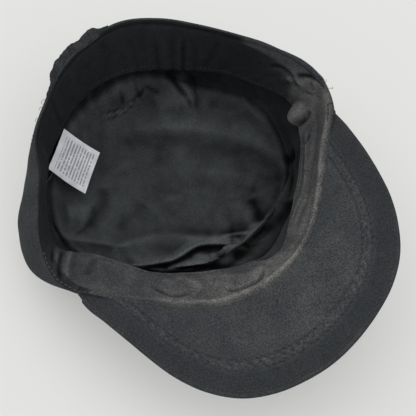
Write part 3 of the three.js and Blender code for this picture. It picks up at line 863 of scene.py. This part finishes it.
# The label's bars: pitch of the rows and margins in mm, as where a bar starts and is full.
BAR_PITCH = 2.15
BAR_ROW = ((0.20, 0.32), (0.80, 0.68))
BAR_MARGINS_X = ((2.6, 3.4), (26.0, 25.0))
BAR_MARGINS_Y = ((3.0, 3.6), (26.4, 25.4))
SATIN = ((0.52, 0.52, 0.54, 1), (0.66, 0.66, 0.67, 1))
INK = (0.16, 0.16, 0.18, 1)


def socket_group(name, inputs, outputs):
    """An empty group: an input with no default is a vector, everything else is a number."""
    group = bpy.data.node_groups.new(name, "ShaderNodeTree")
    for label, value in inputs.items():
        kind = "NodeSocketVector" if value is None else "NodeSocketFloat"
        socket = group.interface.new_socket(label, in_out="INPUT", socket_type=kind)
        if value is not None:
            socket.default_value = value
    for label in outputs:
        group.interface.new_socket(label, in_out="OUTPUT", socket_type="NodeSocketFloat")
    return Tree(group), group.nodes.new("NodeGroupInput").outputs, group.nodes.new("NodeGroupOutput").inputs


def weave_group():
    """Threads of a twill or a plain weave from the cloth's own mm coordinates."""
    inputs = {"Vector": None, "Pitch": 0.8, "Twill": 1.0}
    t, given, made = socket_group("cloth_weave", inputs, ("Height", "Grain"))
    split = t.split(given["Vector"])
    wobble = t.times(t.noise(given["Vector"], 0.35), 1.6)
    turns = t.math("DIVIDE", FULL_TURN, given["Pitch"])
    x, y = (t.times(t.add(split[k], wobble), turns) for k in (0, 1))
    plain = t.times(t.math("SINE", x), t.math("SINE", y))
    slant = t.math("SINE", t.add(x, t.times(y, 0.55)))
    rest = t.math("SUBTRACT", 1.0, given["Twill"])
    both = t.add(t.times(plain, rest), t.times(slant, given["Twill"]))
    height = t.add(t.times(both, 0.5), 0.5)
    fuzz = t.noise(given["Vector"], 2.6, 3.0, 0.7)
    t.feed(made["Height"], t.add(t.times(height, 0.6), fuzz))
    t.feed(made["Grain"], t.add(t.times(height, 0.35), t.times(fuzz, 0.65)))
    return t.tree


def dust_group():
    """Patches of dust and of painted light, as much as the amount gives, lint and mottling from Object
    coordinates in metres.
    """
    inputs = {"Vector": None, "Amount": 0.3, "Lint": 0.2}
    t, given, made = socket_group("cloth_dust", inputs, ("Dust", "Specks", "Mottle"))
    broad, fine, specks, mottle = (
        t.ramp(t.noise(given["Vector"], scale, detail, rough), low, high)
        for scale, detail, rough, low, high in DUST_GRAINS)
    mixed = t.add(t.times(broad, 0.55), t.times(fine, 0.75))
    t.feed(made["Dust"], t.times(mixed, given["Amount"], clamp=True))
    t.feed(made["Specks"], t.times(specks, given["Lint"], clamp=True))
    t.feed(made["Mottle"], mottle)
    return t.tree


def surface(name, settings):
    """A new material, its tree, and its shader's inputs with the settings made."""
    material = bpy.data.materials.new(name)
    material.use_nodes = True
    shader = material.node_tree.nodes["Principled BSDF"].inputs
    for label, value in settings.items():
        shader[label].default_value = value
    return material, Tree(material.node_tree), shader


def scaled(colour, share):
    """A colour made darker or lighter, with its alpha."""
    return tuple(v * share for v in colour) + (1,)


def cloth_material(name, dark, dusty, pitch, twill, amount, lint, mottle):
    """A black cloth: woven grain, dust and painted light where the piece is painted with them, lint, and
    painted light and shade that scale its colour.
    """
    material, t, shader = surface(name, CLOTH_SHADER)
    wear = t.painted("wear")
    weave = t.group("weave", Vector=t.cloth_uv(), Pitch=pitch, Twill=twill)
    dust = t.group("dust", Vector=t.node("TexCoord").outputs["Object"],
                   Amount=t.add(wear, amount), Lint=t.add(t.times(wear, 0.35), lint))
    base = t.mix(weave["Grain"], scaled(dark, 0.62), scaled(dark, 1.5))
    dusted_and_lit = t.mix(dust["Dust"], base, dusty + (1,))
    spread = t.add(t.times(wear, 0.5 * mottle), mottle)
    fleck = t.times(t.math("SUBTRACT", dust["Mottle"], 0.5), spread)
    gain = t.times(t.add(t.times(fleck, 2.0), 1.0), 2.0)
    # the colour is scaled by the painted light and shade on the points, which leave it as it is at 0.5
    toned = t.node("VectorMath", operation="SCALE")
    t.feed(toned.inputs[0], dusted_and_lit)
    t.feed(toned.inputs["Scale"], t.times(t.painted("tone"), gain))
    t.feed(shader["Base Color"], t.mix(dust["Specks"], toned.outputs[0], LINT_COLOUR))
    t.relief(shader, weave["Height"], 0.75, 0.12)
    return material


def thread_material(name, colour):
    """A plain thread, lighter and darker along its length."""
    material, t, shader = surface(name, THREAD_SHADER)
    grain = t.ramp(t.noise(t.node("TexCoord").outputs["Object"], 700.0), 0.3, 0.7)
    t.feed(shader["Base Color"], t.mix(grain, scaled(colour, 0.55), colour + (1,)))
    return material


def label_material():
    """White satin with a fine weave and rows of plain grey bars."""
    material, t, shader = surface("label_satin", LABEL_SHADER)
    uv = t.cloth_uv()
    x, y, _z = t.split(uv)
    rows = t.math("DIVIDE", y, BAR_PITCH)
    join = t.node("CombineXYZ")
    t.feed(join.inputs[0], t.times(x, 0.85))
    t.feed(join.inputs[1], t.times(t.math("FLOOR", rows), 7.31))
    bars = t.ramp(t.noise(join.outputs[0], 1.0, 1.0), 0.36, 0.44)
    for value, steps in ((t.math("FRACT", rows), BAR_ROW), (x, BAR_MARGINS_X), (y, BAR_MARGINS_Y)):
        for start, full in steps:
            bars = t.times(bars, t.ramp(value, start, full))
    white = t.mix(t.ramp(t.noise(uv, 0.14), 0.3, 0.7), *SATIN)
    t.feed(shader["Base Color"], t.mix(t.times(bars, 0.78), white, INK))
    t.relief(shader, t.noise(uv, 3.0), 0.3, 0.05)
    return material


def make_materials():
    """Fills LOOKS with the shared groups and the materials."""
    LOOKS["weave"], LOOKS["dust"] = weave_group(), dust_group()
    for key, name, setting, *rest in CLOTHS:
        LOOKS[key] = cloth_material(name, tuple(getattr(bpy.context.scene.cap_looks, setting)), *rest)
    LOOKS["label"] = label_material()
    for key, name, colour in THREADS:
        LOOKS[key] = thread_material(name, colour)


# Settings

class CapSizes(bpy.types.PropertyGroup):
    """Thicknesses and stitch lengths."""
    cloth: bpy.props.FloatProperty(
        name="Outer cloth", description="Thickness of the twill", default=1.1 * MM, unit="LENGTH")
    band: bpy.props.FloatProperty(
        name="Sweatband", description="Thickness of the sweatband", default=1.2 * MM, unit="LENGTH")
    lining: bpy.props.FloatProperty(
        name="Lining", description="Thickness of the lining", default=0.8 * MM, unit="LENGTH")
    board: bpy.props.FloatProperty(
        name="Peak", description="Thickness of the peak", default=3.2 * MM, unit="LENGTH")
    stitch: bpy.props.FloatProperty(
        name="Stitch", description="Pitch of the stitches", default=STITCH_MM * MM, unit="LENGTH")


class CapLooks(bpy.types.PropertyGroup):
    """Colours of the cloths."""
    twill: bpy.props.FloatVectorProperty(
        name="Outer twill", description="Colour of the outer cloth", subtype="COLOR",
        default=(0.030, 0.034, 0.036), min=0, max=1)
    peak: bpy.props.FloatVectorProperty(
        name="Peak twill", description="Colour of the peak", subtype="COLOR",
        default=(0.030, 0.033, 0.036), min=0, max=1)
    lining: bpy.props.FloatVectorProperty(
        name="Lining", description="Colour of the lining", subtype="COLOR",
        default=(0.024, 0.0265, 0.028), min=0, max=1)
    band: bpy.props.FloatVectorProperty(
        name="Sweatband", description="Colour of the sweatband", subtype="COLOR",
        default=(0.025, 0.0265, 0.0305), min=0, max=1)


def millimetres(name):
    """One of the sizes, in mm."""
    return getattr(bpy.context.scene.cap_sizes, name) / MM


# Pieces
RIM_ROLL = 1.2                              # radius of the turned rim, mm
RIM_TURNS = (30, 65, 100, 135, 165)         # degrees round the turned rim
RUN_MM = 1.6                                # one degree along the outer cloth
SEAM_CORD = 0.9                             # radius of the cord in the crown seam, mm
LINT_SEAM = ("lint", 1.0, 3.0, 3.0, (70, 52), (79, 38), (84, 22), (84, 8), (78, -6))
GATHERS_CLOTH, LABEL_CLOTH = 0.9, 0.35      # thicknesses in mm


class CAP_OT_crown(bpy.types.Operator):
    """Makes the outer wall with its turned rim, the flat crown panel and the cord in their seam."""
    bl_idname = "cap.crown"
    bl_label = "Crown"

    def execute(self, context):
        angle = np.arange(0, 360, 1.0)[:, None]
        level = np.linspace(0, 1, WALL_POINTS)[None, :]
        wall = wall_points(angle, level)
        soft = 0.9 * ripple(wall, 26.0, 3.1) + 0.45 * ripple(wall, 11.0, 8.4)
        wall = wall + polar(angle, 1.0, 0.0) * (soft * np.sin(np.pi * level) ** 0.6)[..., None]
        rim, height = around("rim", angle), around("height", angle) - WALL_DIP * front_part(angle)
        roll = []
        for degrees in RIM_TURNS:
            a = math.radians(degrees)
            roll.append(polar(angle, rim - RIM_ROLL + RIM_ROLL * math.cos(a),
                              height - RIM_ROLL + RIM_ROLL * math.sin(a)))
        roll.append(polar(angle, rim - 2 * RIM_ROLL, height - 2.6))
        points = np.concatenate([wall] + roll, axis=1)
        run = np.linspace(0, 86, points.shape[1])[None, :]
        uv = np.stack(np.broadcast_arrays(np.arange(0, 361, 1.0)[:, None] * RUN_MM, run), -1)
        relief = np.full(points.shape[:2], 0.40)
        piece = sheet_mesh("crown_wall_cloth", points, uv, closed=True, relief=relief)
        thicken(piece, millimetres("cloth"), outward=-1)
        shade(piece, SOFT)
        # lighter towards the rim
        paint(piece, "wear", 0.25 + 0.25 * np.clip(places_of(piece)[:, 2] / 60, 0, 1))
        finish(piece, "twill", LOOKS["outer"], "crown_side")

        rings = np.linspace(1, 0, PANEL_POINTS)[None, :]
        angle = np.arange(0, 360, 2.0)[:, None]
        z = 0.12 + 1.1 * ramp(rings, 0.94, 0.06) ** 2
        flat = polar(angle, (around("seam", angle) + 0.4) * rings, z * np.ones_like(angle))
        panel = sheet_mesh("crown_panel_cloth", flat, flat[..., :2], closed=True, pole=True)
        thicken(panel, millimetres("cloth"), up=1)
        shade(panel, CRISP)
        paint(panel, "wear", np.full(len(panel.data.vertices), 0.3))
        finish(panel, "twill", LOOKS["outer"], "crown_top")

        turns = np.arange(0, 360, 2.0)
        line = polar(turns, around("seam", turns) + 0.9, 1.0)
        cord = line_piece("crown_seam_cord", line, SEAM_CORD, 2, closed=True)
        while cord.data.uv_layers:
            cord.data.uv_layers.remove(cord.data.uv_layers[0])
        cord.data.uv_layers.new(name="cloth_mm")
        paint(cord, "wear", np.full(len(cord.data.vertices), 0.3))
        finish(cord, "twill", LOOKS["outer"])
        return {"FINISHED"}


class CAP_OT_lining(bpy.types.Operator):
    """Makes the lining with its gathers, darts and folds."""
    bl_idname = "cap.lining"
    bl_label = "Lining"

    def execute(self, context):
        angle, path, flat_x, flat_y, moved, lift = lining_shape()
        pocket = fold_field(flat_x, flat_y, [LINING_POCKET_SHADOW])
        # Painted shade: the wall under the band darker, most at the far side; hollows of the folds darker
        # and crests lighter; the pocket under the front darker.
        dim = 1 - 0.75 * ramp(path, 1.04, -0.06) * (0.45 + 0.55 * bump(turn(angle, 80), 75))
        sharp = 0.20 + 0.24 * ramp(flat_y, -10, -14) + 0.06 * ramp(flat_y, 62, 10)
        tone = cavity(lift, 4, sharp) + cavity(lift, 10, 0.7 * sharp) - 0.5
        tone = tone * dim * (1 - 0.55 * np.clip(pocket, 0, 1))
        for x, y, size, change in LINING_LIGHT_AND_SHADE:
            tone = tone * (1 + change * bump(np.hypot(moved[..., 0] - x, moved[..., 1] - y), size))
        uv = np.stack((flat_x, flat_y), -1)
        piece = sheet_mesh("lining_cloth", moved, uv, closed=True, pole=True, relief=tone)
        thicken(piece, millimetres("lining"), outward=1, up=-1)
        shade(piece, SOFT)
        x, y, z = places_of(piece).T
        far = bump(turn(np.degrees(np.arctan2(y, x)), 85), 38) * ramp(z, 12, 14)
        seam = np.clip(fold_field(x, y, [LINT_SEAM]), 0, 1)
        dusted_and_lit = 0.22 + 0.25 * far + 0.55 * seam * ramp(z, 0, 10)
        # Painted light where the lining rises at the front, with its dust.
        dusted_and_lit += 0.35 * ramp(z, 7, 7) * bump(y + 42, 20) * (np.hypot(x, y) < 62)
        for amount, at_x, wide, at_y, deep in LINING_LIGHTER:
            dusted_and_lit += amount * bump(x - at_x, wide) * bump(y - at_y, deep)
        paint(piece, "wear", dusted_and_lit)
        finish(piece, "lining", LOOKS["inner"], "lining")
        return {"FINISHED"}


class CAP_OT_sweatband(bpy.types.Operator):
    """Makes the sweatband with its roll, creases and turned hem."""
    bl_idname = "cap.sweatband"
    bl_label = "Sweatband"

    def execute(self, context):
        angle, across, points, lift = band_shape()
        run = across * BAND_MM + 0 * angle
        run = np.concatenate((run, run[:1]))
        uv = np.stack((np.arange(0, 360.5, BAND_STEP)[:, None] * DEGREE_MM + 0 * run, run), -1)
        # Painted shade: the far band darker past where the light on it ends, creases darker and ridges
        # lighter, and a painted highlight along the hem where it is lit.
        lit = np.array(BAND_LIT)
        past = turn(angle, np.interp(across, lit[:, 0], lit[:, 1]))
        dark = ramp(past, 0, 2.5) * ramp(past, 198, -20)
        dim = 1 - (0.55 + 0.13 * bump(turn(angle, 30), 32)) * dark
        edge = 0.45 * (1 - dark) * bump(across - hem_share(angle) * 0.985, 0.012)
        tone = cavity(lift, 4, 0.36) * dim * (1 + edge)
        piece = sheet_mesh("sweatband_cloth", points, uv, closed=True, relief=tone)
        thicken(piece, millimetres("band"), outward=1, up=-0.5)
        shade(piece, SOFT)
        x, y, _z = places_of(piece).T
        turns = np.degrees(np.arctan2(y, x))
        rim = around("rim", turns)
        share = np.clip((rim - np.hypot(x, y)) / np.maximum(rim - around("band", turns), 1), 0, 1)
        # Dust and painted light: lighter at the front, which faces the light, and by 355 degrees; least at
        # the far side.
        dusted_and_lit = 0.12 * (1 - bump(turn(turns, 90), 75)) + 0.46 * bump(turn(turns, 275), 62)
        dusted_and_lit += 0.26 * bump(turn(turns, 355), 14)
        for amount, at, half, middle, wide in BAND_LIGHT_AND_DUST:
            dusted_and_lit += amount * bump(turn(turns, at), half) * bump(share - middle, wide)
        paint(piece, "wear", dusted_and_lit)
        finish(piece, "sweatband", LOOKS["band"], "sweatband")
        return {"FINISHED"}


class CAP_OT_peak(bpy.types.Operator):
    """Makes the stiff peak with its padded middle, puckered rows and turned edge."""
    bl_idname = "cap.peak"
    bl_label = "Peak"

    def execute(self, context):
        angle = np.linspace(PEAK_START, PEAK_END, PEAK_POINTS[0])[:, None]
        root = peak_root(angle)
        ends = ramp(angle, PEAK_START, 4) * ramp(angle, PEAK_END, -2)
        tip = root + np.maximum(peak_outline(angle) - root, 1.3) * (0.2 + 0.8 * ends)
        part = np.linspace(0, 1, PEAK_POINTS[1])[None, :] ** 0.9
        reach = root + (tip - root) * part
        points = peak_points(angle, reach)
        share = reach / peak_outline(angle)
        inner_row, outer_row = PEAK_ROWS
        middle_row = sum(PEAK_ROWS) / 2
        z = np.zeros(share.shape)
        for row in PEAK_ROWS:
            stitch = np.cos(np.radians(angle) * reach * 2 * np.pi / STITCH_MM + 9 * row)
            z -= (0.42 + 0.20 * stitch) * bump(share - row, 0.0075)
        padding = 0.35 + 1.0 * ripple(points, 2.6, 4.4) + 0.5 * ripple(points, 1.5, 8.8)
        z += padding * bump(share - middle_row, 0.026)
        z -= sum(deep * ramp(angle, start, run) for deep, start, run in PEAK_DIPS)
        z += 0.35 * ramp(share, inner_row, -0.05)
        z -= 0.28 * bump(share - PEAK_EDGE_ROW, 0.006)
        z += 0.35 * ripple(points, 30.0, 6.6) + 0.10 * ripple(points, 5.0, 2.9)
        z -= 1.0 * ramp(share, 0.985, 0.015) ** 2
        points[..., 2] += z * np.clip(part * 12, 0.2, 1)
        # Painted shade in the stitched grooves and painted light on the padding between them; darker outside
        # the outer row.
        tone = cavity(z, 3, 0.44, closed=False) * (1 - 0.16 * ramp(share, outer_row, 0.03))
        piece = sheet_mesh("peak_cloth", points, points[..., :2].copy(), relief=tone)
        thicken(piece, millimetres("board"), up=-1)
        apply(piece, "BEVEL", width=0.9 * MM, segments=3, limit_method="ANGLE", angle_limit=math.radians(50))
        shade(piece, CRISP)
        x, y, _z = places_of(piece).T
        turns = np.mod(np.degrees(np.arctan2(y - PEAK_CENTRE_Y, x)), 360)
        turns = np.where(turns < 90, turns + 360, turns)
        share = np.hypot(x, y - PEAK_CENTRE_Y) / peak_outline(turns)
        # Dust and painted light: lighter inside the inner row and between the rows, most at the middle
        # front; lighter along the very edge.
        middle = bump(turn(turns, 285), 42)
        dusted_and_lit = ramp(share, inner_row + 0.02, -0.04) * (0.09 + 0.30 * middle)
        dusted_and_lit += 0.34 * bump(share - middle_row, 0.035) * (0.5 + 0.5 * middle)
        dusted_and_lit += 0.14 * bump(share - 0.985, 0.012)
        paint(piece, "wear", dusted_and_lit)
        finish(piece, "peak", LOOKS["peak"], "peak")
        return {"FINISHED"}


class CAP_OT_back_gathers(bpy.types.Operator):
    """Makes the gathered strip that the elastic pulls into lobes."""
    bl_idname = "cap.back_gathers"
    bl_label = "Back gathers"

    def execute(self, context):
        angle = np.linspace(CASING_START, CASING_END, GATHERS_POINTS[0])
        out, inner = eased(CASING_EDGE, angle, 3), eased(CASING_SEAM, angle, 4)
        rim, height = around("rim", angle), around("height", angle)
        knots = [
            wall_points(angle, np.full(angle.shape, 0.66)) + polar(angle, 0.4, 0.0),
            polar(angle, rim + 0.85 * out + 0.5, height - 9),
            polar(angle, rim + out + 0.3, height - 3.5),
            polar(angle, rim + 0.8 * out, height + 0.2),
            polar(angle, rim + inner + 0.25 * (out - inner), height + 0.9),
            polar(angle, rim + np.minimum(inner - 1.2, -0.9), height - 0.4 - 0.3 * np.maximum(inner, 0)),
        ]
        knots = [2 * knots[0] - knots[1]] + knots + [2 * knots[-1] - knots[-2]]
        across = np.linspace(0, 1, GATHERS_POINTS[1])
        rows = []
        for part in across * (len(knots) - 3 - 1e-6):
            rows.append(cubic(*knots[int(part):int(part) + 4], part - int(part)))
        points = np.stack(rows, 1)
        angle, across = angle[:, None], across[None, :]
        ends = ramp(angle, CASING_START, 1.5) * ramp(angle, CASING_END, -1.5)
        crinkle = 0.9 * ripple(points, 4.6, 3.7) + 0.45 * ripple(points, 2.1, 5.2)
        crinkle = crinkle + 0.12 * np.sin(np.radians(angle * 360 / 1.9)) * np.clip(1.4 - across, 0, 1)
        way = polar(angle, np.clip(1.5 - 1.6 * across, 0.1, 1), np.clip(1.8 * across - 0.7, 0, 1))
        points = points + way * (crinkle * ends)[..., None]
        uv = np.stack(np.broadcast_arrays(angle * RUN_MM, across * 26), -1)
        # relief: painted light where the crinkles stand out, painted shade where they sink
        piece = sheet_mesh("back_gathers_cloth", points, uv, relief=0.34 + 0.16 * crinkle)
        thicken(piece, GATHERS_CLOTH, outward=-1)
        shade(piece, SOFT)
        paint(piece, "wear", 0.20 + 0.4 * np.clip(ripple(places_of(piece), 4.0, 1.1), 0, 1))
        finish(piece, "twill", LOOKS["outer"], "elastic_casing")
        return {"FINISHED"}


class CAP_OT_label(bpy.types.Operator):
    """Makes the white satin care label."""
    bl_idname = "cap.label"
    bl_label = "Care label"

    def execute(self, context):
        ends = []
        for angle in (LABEL_START, LABEL_END):
            x, y, z = band_points(np.array([angle]), np.array([0.97]))[0][0]
            ends.append(polar(np.array([angle]), math.hypot(x, y) - 0.9, z + 0.9)[0])
        side = ends[1] - ends[0]
        out = np.array((-side[1], side[0], 0.0))
        out *= LABEL_RUN / np.linalg.norm(out)
        if out @ ends[0] > 0:
            out = -out
        u = np.linspace(0, 1, LABEL_POINTS)[:, None]
        v = np.linspace(0, 1, LABEL_POINTS)[None, :]
        sag = LABEL_DROP * v + LABEL_BEND * np.sin(np.pi * v) + 0.8 * u * v
        sag = sag - 1.6 * bump(u - 1.0, 0.30) * bump(v - 0.1, 0.3) + 0.5 * np.sin(5 * u + 2 * v) * v
        points = ends[0] + side * u[..., None] + out * v[..., None]
        points[..., 2] -= sag
        uv = np.stack(np.broadcast_arrays(u * np.linalg.norm(side), v * LABEL_LENGTH), -1)
        piece = sheet_mesh("care_label_satin", points, uv)
        thicken(piece, LABEL_CLOTH, up=-1)
        shade(piece, CRISP)
        finish(piece, "label", LOOKS["label"], "care_label")
        return {"FINISHED"}


class CAP_OT_stitching(bpy.types.Operator):
    """Sews the rows of stitches on the peak, the rim, the sweatband and the crown."""
    bl_idname = "cap.stitching"
    bl_label = "Stitching"

    def execute(self, context):
        peak, band, wall = (bpy.data.objects[name]
                            for name in ("peak_cloth", "sweatband_cloth", "crown_wall_cloth"))
        pitch = millimetres("stitch")
        rows = []
        for share, first, last, inset, step, lift in (
                (PEAK_ROWS[0], 184, 358, 1.5, pitch, 0.10),
                (PEAK_ROWS[1], 184, 358, 1.5, pitch, 0.10),
                (PEAK_EDGE_ROW, 180, 362, 1.0, 2.4, 0.02)):
            turns = np.linspace(first, last, 600)
            reach = peak_outline(turns) * share
            keep = reach > peak_root(turns) + inset
            rows.append(stitch_row(peak, peak_points(turns[keep], reach[keep]), step, lift))
        self.sew("peak_stitches", rows, (2.0, 0.42, 0.36), "peak", "thread")

        turns = np.linspace(182, 350, 900)
        near_rim, _way = band_points(turns, 0.035 + 0.01 * np.sin(turns * 0.9))
        rows = [stitch_row(band, near_rim, STITCH_MM, 0.02)]
        self.sew("rim_stitches", rows, (1.7, 0.45, 0.34), "sweatband", "dusty_thread")
        turns = np.linspace(0, 360, 1400)
        hem, _way = band_points(turns, np.full(turns.shape, 0.90))
        rows = [stitch_row(band, hem, 2.7, 0.05)]
        self.sew("hem_stitches", rows, (1.8, 0.36, 0.26), "sweatband", "loose_thread")
        rows = []
        for level in (0.90, 0.06):
            line = wall_points(turns, np.full(turns.shape, level))
            rows.append(stitch_row(wall, line + polar(turns, 1.5, 0.0), 2.7, 0.08))
        self.sew("crown_stitches", rows, (1.9, 0.45, 0.35), "twill", "thread")
        return {"FINISHED"}

    def sew(self, name, rows, size, slot, thread):
        """Joins the rows into one piece; size is a stitch's length, width and height in mm."""
        places, along, normals = (np.concatenate([row[k] for row in rows]) for k in range(3))
        finish(strands(name, places, along, normals, *size), slot, LOOKS[thread])


class CAP_OT_threads(bpy.types.Operator):
    """Adds the loose thread ends at the back, at the rim's corner and by the label."""
    bl_idname = "cap.threads"
    bl_label = "Loose threads"

    def execute(self, context):
        for name, radius, *way in THREAD_ENDS:
            knots = [polar(a, around("rim", a) + r, around("height", a) + z) for a, r, z in way]
            thread = line_piece(name, smooth_line(knots, 6), radius, 1)
            kind = "dusty_thread" if name == "label_thread" else "loose_thread"
            finish(thread, "twill", LOOKS[kind])
        return {"FINISHED"}


# Stage: sun lights as name, place, energy, angle in degrees, colour, the way they shine.
SUNS = (
    ("window_light", (0, 0.6, 1.2), 0.95, 75, (1.0, 1.0, 0.98), (0.08, -0.46, -1.0)),
    ("front_fill", (-0.4, -0.6, 1.0), 0.95, 60, (1.0, 1.0, 1.0), (-0.06, 0.52, -0.85)),
)
# The floor glows a little as well: painted light that lifts the shadows on it.
BOARD = {"Base Color": (0.45, 0.452, 0.432, 1), "Emission Color": (1.0, 1.0, 0.965, 1),
         "Emission Strength": 0.30, "Roughness": 0.6}
AIR = {"Color": (0.93, 0.95, 1.0, 1), "Strength": 0.54}
FLOOR_SIZE, FLOOR_Z = 6.0, -0.0003          # metres; a hair under the cap
SENSOR = 36.0


class CAP_OT_stage(bpy.types.Operator):
    """Sets the pale floor, the soft studio light and the camera."""
    bl_idname = "cap.stage"
    bl_label = "Stage"

    def execute(self, context):
        deselect()
        bpy.ops.mesh.primitive_plane_add(size=FLOOR_SIZE, location=(0, 0, FLOOR_Z))
        floor = context.object
        floor.name = "studio_floor"
        floor.data.materials.append(surface("pale_board", BOARD)[0])

        back = Vector(view_back())
        azimuth = math.radians(CAMERA_AZIMUTH)
        right = Vector((math.cos(azimuth), math.sin(azimuth), 0))
        up = back.cross(right)
        eye = Vector((CAMERA_TARGET + SHIFT) * MM) + back * CAMERA_DISTANCE * MM
        bpy.ops.object.camera_add(location=eye)
        camera = context.object
        camera.data.lens = CAMERA_LENS
        camera.data.sensor_width = SENSOR
        camera.data.clip_start = 0.02
        turned = Matrix((right, up, back)).transposed().to_4x4()
        camera.matrix_world = Matrix.Translation(eye) @ turned
        context.scene.camera = camera

        for name, place, energy, spread, colour, way in SUNS:
            bpy.ops.object.light_add(type="SUN", location=place)
            sun = context.object
            sun.name = name
            sun.data.energy = energy
            sun.data.angle = math.radians(spread)
            sun.data.color = colour
            sun.rotation_euler = Vector(way).to_track_quat("-Z", "Y").to_euler()
        world = context.scene.world or bpy.data.worlds.new("studio_air")
        context.scene.world = world
        world.use_nodes = True
        air = world.node_tree.nodes.get("Background")
        for label, value in AIR.items():
            air.inputs[label].default_value = value
        context.scene.view_settings.view_transform = "Standard"
        return {"FINISHED"}


class CAP_PT_panel(bpy.types.Panel):
    """Lists the cap's steps and settings."""
    bl_idname = "CAP_PT_panel"
    bl_label = "Cadet cap"
    bl_space_type = "VIEW_3D"
    bl_region_type = "UI"
    bl_category = "Cap"

    def draw(self, context):
        for step in OPERATORS:
            self.layout.operator(step.bl_idname)
        for settings in (context.scene.cap_sizes, context.scene.cap_looks):
            for key in settings.__annotations__:
                self.layout.prop(settings, key)


OPERATORS = (CAP_OT_crown, CAP_OT_lining, CAP_OT_sweatband, CAP_OT_peak, CAP_OT_back_gathers,
             CAP_OT_label, CAP_OT_stitching, CAP_OT_threads, CAP_OT_stage)
CLASSES = (CapSizes, CapLooks, *OPERATORS, CAP_PT_panel)


def register():
    for cls in CLASSES:
        bpy.utils.register_class(cls)
    bpy.types.Scene.cap_sizes = bpy.props.PointerProperty(type=CapSizes)
    bpy.types.Scene.cap_looks = bpy.props.PointerProperty(type=CapLooks)


def unregister():
    del bpy.types.Scene.cap_looks
    del bpy.types.Scene.cap_sizes
    for cls in reversed(CLASSES):
        bpy.utils.unregister_class(cls)


def main():
    register()
    make_materials()
    for step in OPERATORS:
        name = step.bl_idname.split(".")[1]
        getattr(bpy.ops.cap, name)()


if __name__ == "__main__":
    main()
